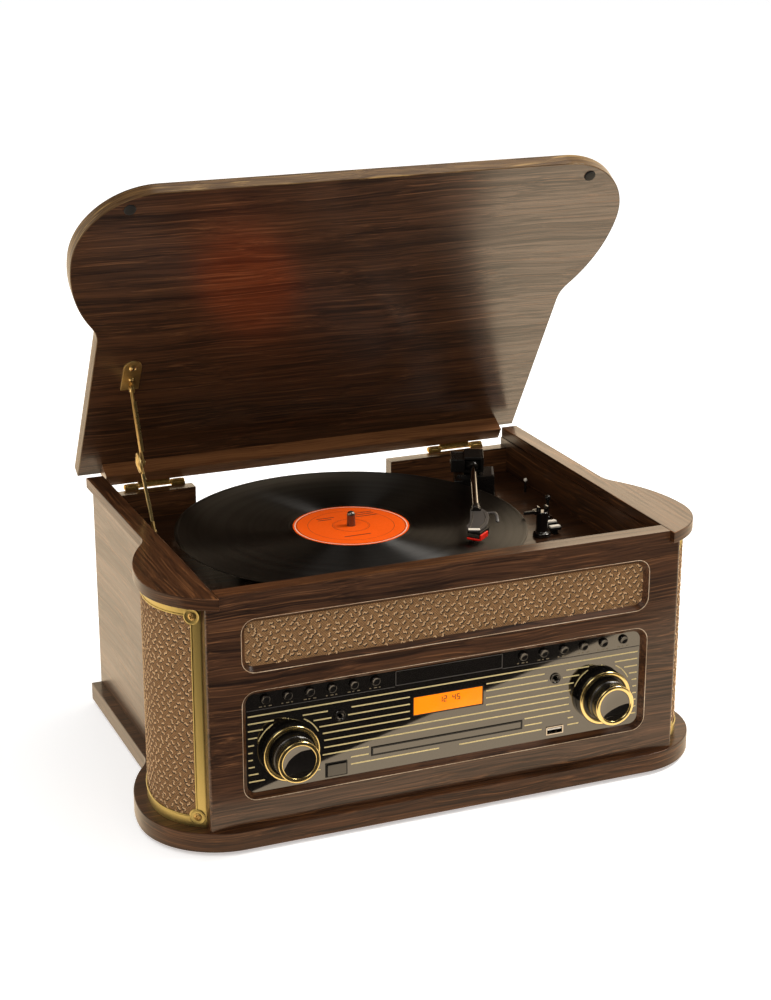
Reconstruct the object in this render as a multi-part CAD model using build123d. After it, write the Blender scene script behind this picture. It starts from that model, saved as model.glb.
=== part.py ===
from build123d import *
import math
import os

# Record player in a lobed wooden cabinet, in millimetres.
# Origin: on the floor under the middle of the cabinet. X is to the right seen from the front,
# Y is to the rear, Z is up. The model is drawn with the lid open.

# Cabinet plan, shared by the base board and the lid
SIDE_HALF = 214.5
REAR_Y = 180.0
NOTCH_Y = 4.0
LOBE_OUT = 31.1
LOBE_Y = -80.0
NOSE_RADIUS = 67.0
NOTCH_FILLET = 30.0

# Cap boards, a little smaller in plan than the base
CAP_SIDE_INSET = 3.5
CAP_NOTCH_Y = 2.0
CAP_LOBE_OUT = 28.8
CAP_LOBE_AHEAD = 2.0
CAP_NOSE_RADIUS = 66.5
CAP_THICKNESS = 9.6

# Heights of the cabinet
FOOT_HEIGHT = 3.5
BASE_THICKNESS = 16.2
WALL_HEIGHT = 186.5

# Walls
WALL_INSET = 9.0
WALL_THICKNESS = 10.5
FRONT_INSET = 7.5
FRONT_THICKNESS = 15.5
FRONT_EDGE_ROUND = 2.5
REAR_THICKNESS = 12.0
FIT_GAP = 0.3
TONGUE_GAP = 0.2

# How far a cutter runs past the face it cuts, how deep two fused parts overlap, and when two points are one
PAST = 1.0
OVERLAP = 0.1
SAME = 0.01

# Rear panel with its cut-out for the record
REAR_BLOCK_DROP = 7.2
CUTOUT_CENTRE = -19.0
CUTOUT_HALF = 95.0
CUTOUT_DROP = 28.7

# Feet
FOOT_RADIUS = 10.0
FOOT_INSET_X = 30.0
FOOT_INSET_Y = 28.0

# Windows of the front panel: the bevel narrows each one toward the panel behind
GRILLE_MARGIN = 27.5
GRILLE_UP = 128.8
GRILLE_HEIGHT = 46.0
GRILLE_BEVEL = 4.5
CONTROL_MARGIN = 27.0
CONTROL_UP = 20.8
CONTROL_HEIGHT = 94.0
CONTROL_BEVEL = 5.0
WINDOW_ROUND = 7.5
REBATE_MARGIN = 8.0
REBATE_FIT = 0.2
BEVEL_LIP = 0.2
CLOTH_THICKNESS = 1.0

# Corner columns: cloth over curved ribs, framed in brass
COLUMN_INSET = 11.0
FRAME_THICKNESS = 0.8
LAYER_GAP = 0.1
RIB_HEIGHT = 11.0
RIB_POST_FRONT = 9.0
RIB_POST_REAR = 11.0
FRAME_TOP_BAND = 8.2
FRAME_BOTTOM_BAND = 8.8
FRAME_BAR_FRONT = 4.3
FRAME_BAR_REAR = 6.0
CLOTH_LAP = 4.0
SCREW_ANGLE = -53.9
SCREW_FROM_END = 8.7
SCREW_BOSS_RADIUS = 6.5
SCREW_HEAD_RADIUS = 3.2
SCREW_HEAD_HEIGHT = 1.5
SCREW_SHANK_RADIUS = 1.4
SCREW_LENGTH = 8.0
SCREW_FIT = 0.1

# Loudspeakers, set in the side panels behind the columns
SPEAKER_BEHIND_LOBE = 14.0
SPEAKER_UP = 92.8
SPEAKER_HOLE_RADIUS = 36.5
SPEAKER_RIM_RADIUS = 42.0
SPEAKER_RIM_THICKNESS = 2.0
SPEAKER_BASKET_RADIUS = 35.5
SPEAKER_DEPTH = 26.0
SPEAKER_BACK_RADIUS = 20.0
MAGNET_RADIUS = 24.0
MAGNET_LENGTH = 10.0
CONE_RADIUS = 33.0
CONE_DEPTH = 14.0
SURROUND_DEPTH = 0.5
PAPER_FIT = 0.2
SHEET = 1.2

# Control panel and the parts on it. Heights are above the low edge of its window
PANEL_THICKNESS = 3.0
BUTTON_DROP = 10.5
BUTTON_FROM_SIDE = 21.0
BUTTON_PITCH = 18.5
BUTTON_COUNT = 6
BUTTON_RADIUS = 3.8
BUTTON_PROUD = 2.6
BUTTON_FLANGE = 1.4
BUTTON_FLANGE_THICKNESS = 1.4
BUTTON_TRAVEL = 1.0
BUTTON_FIT = 0.25
KNOB_FROM_SIDE = 40.0
KNOB_UP = 36.5
KNOB_SKIRT_RADIUS = 23.5
KNOB_SKIRT_LENGTH = 8.0
KNOB_WAIST_RADIUS = 18.5
KNOB_WAIST_LENGTH = 7.0
KNOB_NOSE_RADIUS = 17.5
KNOB_NOSE_LENGTH = 10.5
KNOB_SHAFT_RADIUS = 3.0
SHAFT_FIT = 0.08
SHAFT_ROOM = 1.0
DISPLAY_LEFT = -31.9
DISPLAY_RIGHT = 29.2
DISPLAY_UP = 47.2
DISPLAY_HEIGHT = 15.8
DISPLAY_THICKNESS = 2.0
DISPLAY_PROUD = 0.4
MODULE_INSET = 1.0
POWER_FROM_KNOB = 40.0
POWER_WIDTH = 17.0
POWER_UP = 7.3
POWER_HEIGHT = 10.7
POWER_PROUD = 1.6
POWER_TRAVEL = 1.5
POWER_FLANGE = 1.5
TRAY_LEFT = -68.3
TRAY_RIGHT = 65.7
TRAY_UP = 18.5
TRAY_HEIGHT = 7.5
TRAY_FRONT_THICKNESS = 3.0
TRAY_PLATE_MARGIN = 3.0
TRAY_DEPTH = 132.0
TRAY_PROUD = 0.4
TRAY_LIP = 1.0
TRAY_FIT = 0.4
TRAY_HOLLOW_RADIUS = 60.4
TRAY_HOLLOW_DEPTH = 2.2
TRAY_HOLLOW_BEHIND = 68.5
USB_FROM_KNOB = 42.5
USB_WIDTH = 16.0
USB_UP = 8.3
USB_HEIGHT = 7.0
USB_DEPTH = 14.0
USB_WALL = 1.0
USB_FLANGE = 1.6
USB_PROUD = 1.0
JACK_FROM_KNOB = 43.2
JACK_UP = 58.6
JACK_RADIUS = 4.6
JACK_BORE_RADIUS = 1.8
JACK_DEPTH = 13.0
JACK_PROUD = 1.2
JACK_LIP = 0.8
JACK_WALL = 1.0
PLATE_LEFT = -48.0
PLATE_RIGHT = 46.2
PLATE_UP = 76.0
PLATE_PROUD = 0.8

# Main circuit board behind the control panel
BOARD_GAP = 12.0
BOARD_THICKNESS = 1.6
BOARD_FROM_SIDE = 8.5
BOARD_UP = 43.0
BOARD_LEG_UP = 3.0
BOARD_LEG_X = 82.0
SPACER_RADIUS = 3.0
SWITCH_SIZE = 6.0
POT_SIZE = 18.0
POT_DEPTH = 8.0
POT_BORE_DEPTH = 5.0

# Disc mechanism and transformer on the base board
MECH_MARGIN = 5.0
MECH_WALL = 2.5
MECH_HEAD = 12.0
MECH_LEG = 14.0
TRANSFORMER_X = -130.0
TRANSFORMER_Y = 112.0
CORE_LENGTH = 62.0
CORE_WIDTH = 28.0
CORE_HEIGHT = 52.0
COIL_WIDTH = 48.0
COIL_LENGTH = 34.0
COIL_HEIGHT = 32.0
FLANGE_LENGTH = 82.0
FLANGE_THICKNESS = 2.0

# Rear socket plate
SOCKETS_LEFT = -150.0
SOCKETS_RIGHT = -60.0
SOCKETS_UP = 23.8
SOCKETS_HEIGHT = 30.0
SOCKET_PLATE = 2.0
SOCKET_MARGIN = 6.0
SOCKET_RADIUS = 4.15
SOCKET_BORE = 1.8
SOCKET_LENGTH = 8.0
SOCKET_PITCH = 16.0
GLAND_RADIUS = 7.0
GLAND_BORE_RADIUS = 3.3
GLAND_LENGTH = 9.0

# Deck and record
DECK_DROP = 30.7
DECK_THICKNESS = 3.0
DECK_RIM = 14.0
DECK_RIM_WALL = 2.5
PLATTER_X = -20.6
PLATTER_Y = 26.9
RECORD_RADIUS = 150.8
RECORD_THICKNESS = 1.8
RECORD_ABOVE_DECK = 20.0
MAT_RADIUS = 95.0
MAT_THICKNESS = 1.6
PLATTER_RADIUS = 98.0
PLATTER_HEIGHT = 13.0
PLATTER_TOP = 2.4
PLATTER_WALL = 2.2
HUB_RADIUS = 12.0
SPINDLE_RADIUS = 3.6
SPINDLE_ABOVE = 13.0
SPINDLE_LENGTH = 49.0
BEARING_RADIUS = 8.0
BEARING_GAP = 0.3
SPINDLE_FIT = 0.06
DRIVE_RING_RADIUS = 62.0
DRIVE_RING_WALL = 2.0
DRIVE_RING_HEIGHT = 10.0

# Motor, pulley and belt
MOTOR_DISTANCE = 82.0
MOTOR_ANGLE = 135.0
MOTOR_RADIUS = 19.0
MOTOR_HEIGHT = 25.0
MOTOR_SHAFT_RADIUS = 1.5
MOTOR_SHAFT_SOCKET = 15.0
PULLEY_RADIUS = 5.0
PULLEY_HEIGHT = 7.0
PULLEY_ABOVE_DECK = 4.5
PULLEY_HOLE_RADIUS = 5.0
BELT_THICKNESS = 0.8
BELT_HEIGHT = 5.0
BELT_GAP = 0.3

# Tonearm, drawn along its own line: length is away from the pivot, width to its right side
ARM_X = 136.6
ARM_Y = 119.0
ARM_ANGLE = -113.7
ARM_ABOVE_RECORD = 11.0
TUBE_RADIUS = 3.2
TUBE_START = 8.0
TUBE_END = 131.0
COLLAR_RADIUS = 4.6
COLLAR_LENGTH = 13.0
SHELL_BELOW_ARM = 0.5
SHELL_THICKNESS = 2.0
SHELL_END = 193.0
SHELL_NECK = 2.0
SHELL_SHOULDER = 8.0
SHELL_TAPER = 3.0
WING_REACH = 12.5
WING_FOOT = 13.0
WING_LENGTH = 5.0
CARTRIDGE_ANGLE = -27.0
STYLUS_ALONG = 190.5
STYLUS_ACROSS = -3.0
STYLUS_GAP = 0.3
CARTRIDGE_LENGTH = 17.0
CARTRIDGE_WIDTH = 12.0
CARTRIDGE_HEIGHT = 5.5
GUARD_HEIGHT = 2.6
GUARD_INSET = 1.0
GUARD_START = 3.0
STYLUS_SETBACK = 1.0
STYLUS_TIP = 0.3
STYLUS_ROOT = 1.2
BLOCK_WIDTH = 13.0
BLOCK_LENGTH = 20.0
BLOCK_HEIGHT = 7.0
PIN_RADIUS = 1.5
PIVOT_LEFT = -20.0
PIVOT_RIGHT = 10.0
PIVOT_REAR = -14.0
PIVOT_FRONT = 13.0
PIVOT_ABOVE_ARM = 8.0
PIVOT_ROOF = 3.0
PIVOT_FLOOR = 2.1
PIVOT_NECK_RADIUS = 9.0
PIVOT_NECK_HEIGHT = 2.0
PIVOT_SHAFT_RADIUS = 3.0
PIVOT_SHAFT_LENGTH = 18.0
TURRET_HEIGHT = 22.0
TURRET_LENGTH = 30.0
TURRET_LEFT = -17.0
TURRET_RIGHT = 20.0
TURRET_STEP = 5.0
LIFTER_RADIUS = 33.0
LIFTER_WIDTH = 5.0
LIFTER_THICKNESS = 2.5
LIFTER_STEM_RADIUS = 2.0
LIFTER_STEM_ANGLE = -110.0
LIFTER_FROM = -139.0
LIFTER_TO = -83.0
LIFTER_RISE = 1.0
LIFTER_GAP = 0.3

# Arm rest, clip and levers on the deck
REST_X = 144.0
REST_Y = -9.0
REST_RADIUS = 5.2
REST_FOOT_RADIUS = 7.7
REST_FOOT_HEIGHT = 4.0
REST_HEIGHT = 22.5
PRONG_HEIGHT = 4.7
PRONG_GAP = 6.0
CLIP_LENGTH = 11.0
CLIP_HEIGHT = 3.5
CLIP_THICKNESS = 2.2
CLIP_SEAT = 1.0
CLIP_PIN_RADIUS = 1.0
CLIP_Z = 22.6
CUE_X = 165.0
CUE_Y = 22.0
CUE_HEIGHT = 25.0
CUE_RADIUS = 1.6
CUE_KNOB_RADIUS = 2.6
CUE_HUB_RADIUS = 3.0
CUE_WIDTH = 3.0
CUE_EAR = 2.0
LEVER_X = 157.5
SPEED_Y = -7.0
STOP_X = 160.5
STOP_Y = 6.0
LEVER_LENGTH = 11.0
LEVER_WIDTH = 5.0
LEVER_THICKNESS = 4.0
LEVER_STEM_LENGTH = 5.0
LEVER_STEM_WIDTH = 3.0
LEVER_FOOT = 2.0
LEVER_TRAVEL = 3.0
LEVER_ABOVE_DECK = 3.0
SLOT_FIT = 0.4

# Lid, drawn closed and then turned open about the hinge line
HINGE_BEHIND = 3.5
HINGE_ABOVE_BLOCK = 2.0
LID_OPEN = 58.8
LID_THICKNESS = 12.0
LID_GAP = 1.8
BATTEN_LENGTH = 12.0
BATTEN_DEPTH = 15.1
BATTEN_SIDE_FIT = 1.5
BUMPER_X = 203.0
BUMPER_FROM_REAR = 312.0
BUMPER_RADIUS = 5.0
BUMPER_THICKNESS = 1.5

# Hinges
HINGE_X = 148.0
HINGE_LENGTH = 56.0
KNUCKLE_LENGTH = 30.0
KNUCKLE_RADIUS = 2.7
KNUCKLE_GAP = 0.3
LEAF_THICKNESS = 1.2
LEAF_START_Y = 170.0
LEAF_STRIP = 3.0
HINGE_PIN_RADIUS = 1.0
HINGE_PIN_FIT = 0.06

# Folding stay at the left. Its top pivot is placed from the lid, the others from the hinge line
STAY_IN_FROM_WALL = 13.5
STAY_TOP_FROM_REAR = 114.2
STAY_TOP_DROP = 7.7
STAY_ELBOW_FORWARD = 80.4
STAY_ELBOW_UP = 47.8
STAY_FOOT_FORWARD = 115.5
STAY_FOOT_DOWN = 3.5
LINK_WIDTH = 7.0
LINK_THICKNESS = 1.4
LINK_GAP = 0.5
STAY_RIVET_RADIUS = 1.6
STAY_RIVET_FIT = 0.06
STAY_HEAD_RADIUS = 2.8
STAY_HEAD_HEIGHT = 0.9
STAY_PLATE_LENGTH = 34.0
STAY_PLATE_WIDTH = 16.0
STAY_PLATE_THICKNESS = 1.4
STAY_PLATE_BEYOND = 7.0
WALL_PLATE_LENGTH = 26.0
WALL_PLATE_WIDTH = 12.0

# Places that follow from the sizes above
BASE_TOP = FOOT_HEIGHT + BASE_THICKNESS
WALL_TOP = BASE_TOP + WALL_HEIGHT
LOBE_REACH = SIDE_HALF + LOBE_OUT
CAP_SIDE_HALF = SIDE_HALF - CAP_SIDE_INSET
CAP_REACH = CAP_SIDE_HALF + CAP_LOBE_OUT
CAP_LOBE_Y = LOBE_Y - CAP_LOBE_AHEAD
WALL_OUTER = SIDE_HALF - WALL_INSET
FRONT_Y = LOBE_Y - NOSE_RADIUS + FRONT_INSET
CUTOUT_LEFT = CUTOUT_CENTRE - CUTOUT_HALF
CUTOUT_RIGHT = CUTOUT_CENTRE + CUTOUT_HALF
GRILLE_HALF = WALL_OUTER - GRILLE_MARGIN
GRILLE_LOW = BASE_TOP + GRILLE_UP
GRILLE_HIGH = GRILLE_LOW + GRILLE_HEIGHT
CONTROL_HALF = WALL_OUTER - CONTROL_MARGIN
CONTROL_LOW = BASE_TOP + CONTROL_UP
CONTROL_HIGH = CONTROL_LOW + CONTROL_HEIGHT
SPEAKER_Y = LOBE_Y + SPEAKER_BEHIND_LOBE
SPEAKER_Z = BASE_TOP + SPEAKER_UP
BUTTON_Z = CONTROL_HIGH - BUTTON_DROP
BUTTON_FIRST_X = CONTROL_HALF - BUTTON_FROM_SIDE - (BUTTON_COUNT - 1) * BUTTON_PITCH
KNOB_X = CONTROL_HALF - KNOB_FROM_SIDE
KNOB_Z = CONTROL_LOW + KNOB_UP
DISPLAY_LOW = CONTROL_LOW + DISPLAY_UP
DISPLAY_HIGH = DISPLAY_LOW + DISPLAY_HEIGHT
POWER_LEFT = POWER_FROM_KNOB - KNOB_X - POWER_WIDTH / 2
POWER_RIGHT = POWER_LEFT + POWER_WIDTH
POWER_LOW = CONTROL_LOW + POWER_UP
POWER_HIGH = POWER_LOW + POWER_HEIGHT
TRAY_LOW = CONTROL_LOW + TRAY_UP
TRAY_HIGH = TRAY_LOW + TRAY_HEIGHT
USB_LEFT = KNOB_X - USB_FROM_KNOB - USB_WIDTH / 2
USB_RIGHT = USB_LEFT + USB_WIDTH
USB_LOW = CONTROL_LOW + USB_UP
USB_HIGH = USB_LOW + USB_HEIGHT
JACK_X = KNOB_X - JACK_FROM_KNOB
JACK_Z = CONTROL_LOW + JACK_UP
PLATE_LOW = CONTROL_LOW + PLATE_UP
BOARD_HALF = CONTROL_HALF - BOARD_FROM_SIDE
BOARD_LOW = CONTROL_LOW + BOARD_UP
BOARD_LEG_LOW = CONTROL_LOW + BOARD_LEG_UP
SOCKETS_LOW = BASE_TOP + SOCKETS_UP
SOCKETS_HIGH = SOCKETS_LOW + SOCKETS_HEIGHT
CAP_TOP = WALL_TOP + CAP_THICKNESS
WALL_INNER = WALL_OUTER - WALL_THICKNESS
FRONT_BACK = FRONT_Y + FRONT_THICKNESS
REAR_FACE = REAR_Y - REAR_THICKNESS
BLOCK_TOP = WALL_TOP - REAR_BLOCK_DROP
DECK_TOP = WALL_TOP - DECK_DROP
DECK_BOTTOM = DECK_TOP - DECK_THICKNESS
PANEL_Y = FRONT_Y + CONTROL_BEVEL
PANEL_BACK = PANEL_Y + PANEL_THICKNESS
BOARD_Y = PANEL_BACK + BOARD_GAP
CLOTH_Y = FRONT_Y + GRILLE_BEVEL
RECORD_TOP = DECK_TOP + RECORD_ABOVE_DECK
RECORD_BOTTOM = RECORD_TOP - RECORD_THICKNESS
MAT_BOTTOM = RECORD_BOTTOM - MAT_THICKNESS
PLATTER_BOTTOM = MAT_BOTTOM - PLATTER_HEIGHT
ARM_Z = RECORD_TOP + ARM_ABOVE_RECORD
SHELL_Z = ARM_Z - SHELL_BELOW_ARM
PIVOT_TOP = ARM_Z + PIVOT_ABOVE_ARM
LID_UNDER = CAP_TOP + LID_GAP
HINGE_Y = REAR_Y + HINGE_BEHIND
HINGE_Z = BLOCK_TOP + HINGE_ABOVE_BLOCK
BATTEN_UNDER = LID_UNDER - BATTEN_DEPTH
FLANK_RADIUS = ((LOBE_REACH - SIDE_HALF) ** 2 + (NOTCH_Y - LOBE_Y) ** 2) / (2 * (LOBE_REACH - SIDE_HALF))
NOSE_X = LOBE_REACH - NOSE_RADIUS
FLANK_X = LOBE_REACH - FLANK_RADIUS


def block(x0, x1, y0, y1, z0, z1):
    """A box between two corners."""
    middle = Pos((x0 + x1) / 2, (y0 + y1) / 2, (z0 + z1) / 2)
    return middle * Box(x1 - x0, y1 - y0, z1 - z0)


def rod_x(x0, x1, y, z, radius):
    """A round bar along X."""
    return Pos((x0 + x1) / 2, y, z) * Rot(0, 90, 0) * Cylinder(radius, x1 - x0)


def rod_y(y0, y1, x, z, radius):
    """A round bar along Y."""
    return Pos(x, (y0 + y1) / 2, z) * Rot(90, 0, 0) * Cylinder(radius, y1 - y0)


def rod_z(z0, z1, x, y, radius):
    """A round bar along Z."""
    return Pos(x, y, (z0 + z1) / 2) * Cylinder(radius, z1 - z0)


def rounded_window(y0, y1, half, z0, z1, radius):
    """A prism along Y with a rounded rectangle as its section."""
    face = Plane(origin=(0, y0, (z0 + z1) / 2), x_dir=(1, 0, 0), z_dir=(0, 1, 0))
    return extrude(face * RectangleRounded(2 * half, z1 - z0, radius), amount=y1 - y0)


def flip(shape):
    """The same piece at the other side of the cabinet."""
    return mirror(shape, Plane.YZ)


def group(*solids):
    """Separate solids that share one node."""
    found = []
    for shape in solids:
        found.extend(shape.solids())
    return Compound(found)


def lobed_face(half, notch_y, reach, lobe_y, nose, fillet_radius):
    """The plan of a board, with a notch at each side and a round lobe at each front corner."""
    notch = (half, notch_y)
    side = (reach, lobe_y)
    nose_end = (reach - nose, lobe_y - nose)
    right = [
        Line((0, REAR_Y), (half, REAR_Y)),
        Line((half, REAR_Y), notch),
        TangentArc(side, notch, tangent=(0, 1)),
        TangentArc(side, nose_end, tangent=(0, -1)),
        Line(nose_end, (0, lobe_y - nose)),
    ]
    edges = right + [mirror(edge, Plane.YZ) for edge in right]
    face = make_face(edges)
    notches = [v for v in face.vertices() if abs(abs(v.X) - half) < SAME and abs(v.Y - notch_y) < SAME]
    return fillet(notches, fillet_radius)


def board(face, z0, z1):
    """A board with the given plan between two heights."""
    return Pos(0, 0, z0) * extrude(face, amount=z1 - z0)


def column_face(inset):
    """The plan of a right corner column, this far inside the base outline."""
    flank = FLANK_RADIUS - inset
    nose = NOSE_RADIUS - inset
    rear = (WALL_OUTER, LOBE_Y + math.sqrt(flank ** 2 - (WALL_OUTER - FLANK_X) ** 2))
    side = (LOBE_REACH - inset, LOBE_Y)
    front = (WALL_OUTER, LOBE_Y - math.sqrt(nose ** 2 - (WALL_OUTER - NOSE_X) ** 2))
    edges = [
        TangentArc(side, rear, tangent=(0, 1)),
        TangentArc(side, front, tangent=(0, -1)),
        Line(front, rear),
    ]
    return make_face(edges)


def column_shell(inset, thickness, z0, z1):
    """A curved skin over a right corner column."""
    outer = board(column_face(inset), z0, z1)
    return outer - board(column_face(inset + thickness), z0 - PAST, z1 + PAST)


def save(name, shape):
    """Write one node."""
    os.makedirs("parts", exist_ok=True)
    export_step(shape, "parts/" + name + ".step")


def make_base():
    """Base board and its feet."""
    plan = lobed_face(SIDE_HALF, NOTCH_Y, LOBE_REACH, LOBE_Y, NOSE_RADIUS, NOTCH_FILLET)
    save("base_board", board(plan, FOOT_HEIGHT, BASE_TOP))
    feet = []
    for x in (FOOT_INSET_X - SIDE_HALF, SIDE_HALF - FOOT_INSET_X):
        for y in (LOBE_Y - NOSE_RADIUS + FOOT_INSET_Y, REAR_Y - FOOT_INSET_Y):
            feet.append(rod_z(0, FOOT_HEIGHT, x, y, FOOT_RADIUS))
    save("rubber_feet", group(*feet))


def make_walls():
    """Side panels, rear panel, front panel and cap boards."""
    side = block(WALL_INNER, WALL_OUTER, FRONT_BACK, REAR_Y, BASE_TOP, WALL_TOP)
    side -= rod_x(WALL_INNER - PAST, WALL_OUTER + PAST, SPEAKER_Y, SPEAKER_Z, SPEAKER_HOLE_RADIUS)
    save("side_panels", group(side, flip(side)))

    rear = block(-WALL_INNER, WALL_INNER, REAR_FACE, REAR_Y, BASE_TOP, BLOCK_TOP)
    rear -= block(CUTOUT_LEFT, CUTOUT_RIGHT, REAR_FACE - PAST, REAR_Y + PAST, WALL_TOP - CUTOUT_DROP,
                  BLOCK_TOP + PAST)
    rear -= block(SOCKETS_LEFT, SOCKETS_RIGHT, REAR_FACE - PAST, REAR_Y + PAST, SOCKETS_LOW, SOCKETS_HIGH)
    save("rear_panel", rear)

    front = block(-WALL_OUTER, WALL_OUTER, FRONT_Y, FRONT_BACK, BASE_TOP, WALL_TOP)
    uprights = [e for e in front.edges().filter_by(Axis.Z) if e.center().Y < FRONT_Y + SAME]
    front = fillet(uprights, FRONT_EDGE_ROUND)
    tongue = WALL_INNER + TONGUE_GAP
    front += block(-tongue, tongue, FRONT_Y, FRONT_BACK, WALL_TOP, CAP_TOP)
    front = cut_window(front, GRILLE_HALF, GRILLE_LOW, GRILLE_HIGH, GRILLE_BEVEL)
    front = cut_window(front, CONTROL_HALF, CONTROL_LOW, CONTROL_HIGH, CONTROL_BEVEL)
    save("front_panel", front)

    plan = lobed_face(CAP_SIDE_HALF, CAP_NOTCH_Y, CAP_REACH, CAP_LOBE_Y, CAP_NOSE_RADIUS, NOTCH_FILLET)
    inner = tongue + FIT_GAP
    cap = board(plan, WALL_TOP, CAP_TOP)
    cap &= block(inner, CAP_REACH + PAST, CAP_LOBE_Y - CAP_NOSE_RADIUS - PAST, REAR_Y + PAST, WALL_TOP,
                 CAP_TOP)
    save("cap_boards", group(cap, flip(cap)))


def cut_window(panel, half, low, high, bevel):
    """Cut a window with a bevelled front edge and a rebate behind it."""
    inner_half = half - bevel
    panel -= rounded_window(FRONT_Y - PAST, FRONT_BACK + PAST, inner_half, low + bevel, high - bevel,
                            WINDOW_ROUND)
    rebate = inner_half + REBATE_MARGIN
    panel -= block(-rebate, rebate, FRONT_Y + bevel, FRONT_BACK + PAST,
                   low + bevel - REBATE_MARGIN, high - bevel + REBATE_MARGIN)
    rim = []
    for edge in panel.edges():
        middle = edge.center()
        inside = abs(middle.X) < half and low < middle.Z < high
        if inside and abs(middle.Y - FRONT_Y) < SAME:
            rim.append(edge)
    return chamfer(rim, bevel - BEVEL_LIP)


def make_columns():
    """Curved ribs, cloth, brass frame and screws of both corner columns."""
    skin = COLUMN_INSET + FRAME_THICKNESS + LAYER_GAP
    rib_inset = skin + CLOTH_THICKNESS + LAYER_GAP
    plan = column_face(rib_inset)
    front_end = plan.bounding_box().min.Y
    rear_end = plan.bounding_box().max.Y
    ribs = board(plan, BASE_TOP, WALL_TOP)
    ribs -= block(WALL_OUTER - PAST, LOBE_REACH, front_end + RIB_POST_FRONT, rear_end - RIB_POST_REAR,
                  BASE_TOP + RIB_HEIGHT, WALL_TOP - RIB_HEIGHT)

    cloth = column_shell(skin, CLOTH_THICKNESS, BASE_TOP + CLOTH_LAP, WALL_TOP - CLOTH_LAP)

    frame = column_shell(COLUMN_INSET, FRAME_THICKNESS, BASE_TOP, WALL_TOP)
    outline = column_face(COLUMN_INSET).bounding_box()
    opening = block(WALL_OUTER - PAST, LOBE_REACH, outline.min.Y + FRAME_BAR_FRONT,
                    outline.max.Y - FRAME_BAR_REAR,
                    BASE_TOP + FRAME_BOTTOM_BAND, WALL_TOP - FRAME_TOP_BAND)
    turn = math.radians(SCREW_ANGLE)
    screws = []
    for z in (BASE_TOP + SCREW_FROM_END, WALL_TOP - SCREW_FROM_END):
        reach = NOSE_RADIUS - COLUMN_INSET
        seat = Location((NOSE_X + reach * math.cos(turn), LOBE_Y + reach * math.sin(turn), z))
        aim = seat * Rot(0, 0, SCREW_ANGLE) * Rot(0, 90, 0)
        opening -= aim * Cylinder(SCREW_BOSS_RADIUS, SCREW_LENGTH)
        hole = aim * Cylinder(SCREW_SHANK_RADIUS + SCREW_FIT, 2 * SCREW_LENGTH + PAST)
        frame -= hole
        cloth -= hole
        ribs -= hole
        screw = aim * Pos(0, 0, -SCREW_LENGTH / 2) * Cylinder(SCREW_SHANK_RADIUS, SCREW_LENGTH)
        dome = aim * Pos(0, 0, SCREW_FIT + SCREW_HEAD_HEIGHT / 2) * Cylinder(SCREW_HEAD_RADIUS,
                                                                             SCREW_HEAD_HEIGHT)
        neck = aim * Cylinder(SCREW_SHANK_RADIUS, SCREW_HEAD_HEIGHT)
        screws.append(screw + neck + dome)
    frame -= opening
    save("corner_ribs", group(ribs, flip(ribs)))
    save("corner_frames", group(frame, flip(frame)))
    save("frame_screws", group(*screws, *[flip(screw) for screw in screws]))

    half = GRILLE_HALF - GRILLE_BEVEL + REBATE_MARGIN - REBATE_FIT
    low = GRILLE_LOW + GRILLE_BEVEL - REBATE_MARGIN + REBATE_FIT
    high = GRILLE_HIGH - GRILLE_BEVEL + REBATE_MARGIN - REBATE_FIT
    grille = block(-half, half, CLOTH_Y, CLOTH_Y + CLOTH_THICKNESS, low, high)
    save("speaker_cloths", group(cloth, flip(cloth), grille))


def make_speakers():
    """A loudspeaker in each side panel: a chassis with its magnet, and a paper cone."""
    face = WALL_OUTER + SPEAKER_RIM_THICKNESS
    back = face - SPEAKER_DEPTH
    rim = rod_x(WALL_OUTER, face, SPEAKER_Y, SPEAKER_Z, SPEAKER_RIM_RADIUS)
    turn = Pos(0, SPEAKER_Y, SPEAKER_Z) * Rot(0, 90, 0)
    basket = turn * Pos(0, 0, (back + WALL_OUTER) / 2) * Cone(
        SPEAKER_BACK_RADIUS, SPEAKER_BASKET_RADIUS, WALL_OUTER - back)
    magnet = rod_x(back - MAGNET_LENGTH, back, SPEAKER_Y, SPEAKER_Z, MAGNET_RADIUS)
    chassis = rim + basket + magnet
    bowl = turn * Pos(0, 0, (face - CONE_DEPTH + face) / 2) * Cone(
        SPEAKER_BACK_RADIUS, CONE_RADIUS + SHEET, CONE_DEPTH)
    chassis -= bowl
    chassis -= rod_x(face - SURROUND_DEPTH, face + PAST, SPEAKER_Y, SPEAKER_Z, CONE_RADIUS + SHEET)
    paper = turn * Pos(0, 0, face - CONE_DEPTH / 2) * Cone(
        SPEAKER_BACK_RADIUS - PAPER_FIT, CONE_RADIUS + SHEET - PAPER_FIT, CONE_DEPTH)
    paper -= turn * Pos(0, 0, face - CONE_DEPTH / 2 + SHEET) * Cone(
        SPEAKER_BACK_RADIUS - SHEET, CONE_RADIUS, CONE_DEPTH)
    save("speakers", group(chassis, paper, flip(chassis), flip(paper)))


def button_places():
    """The name and the X of each small round button."""
    places = []
    for side, sign in (("left", -1), ("right", 1)):
        for index in range(BUTTON_COUNT):
            places.append((side + "_button_" + str(index + 1),
                           sign * (BUTTON_FIRST_X + index * BUTTON_PITCH)))
    return places


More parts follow.
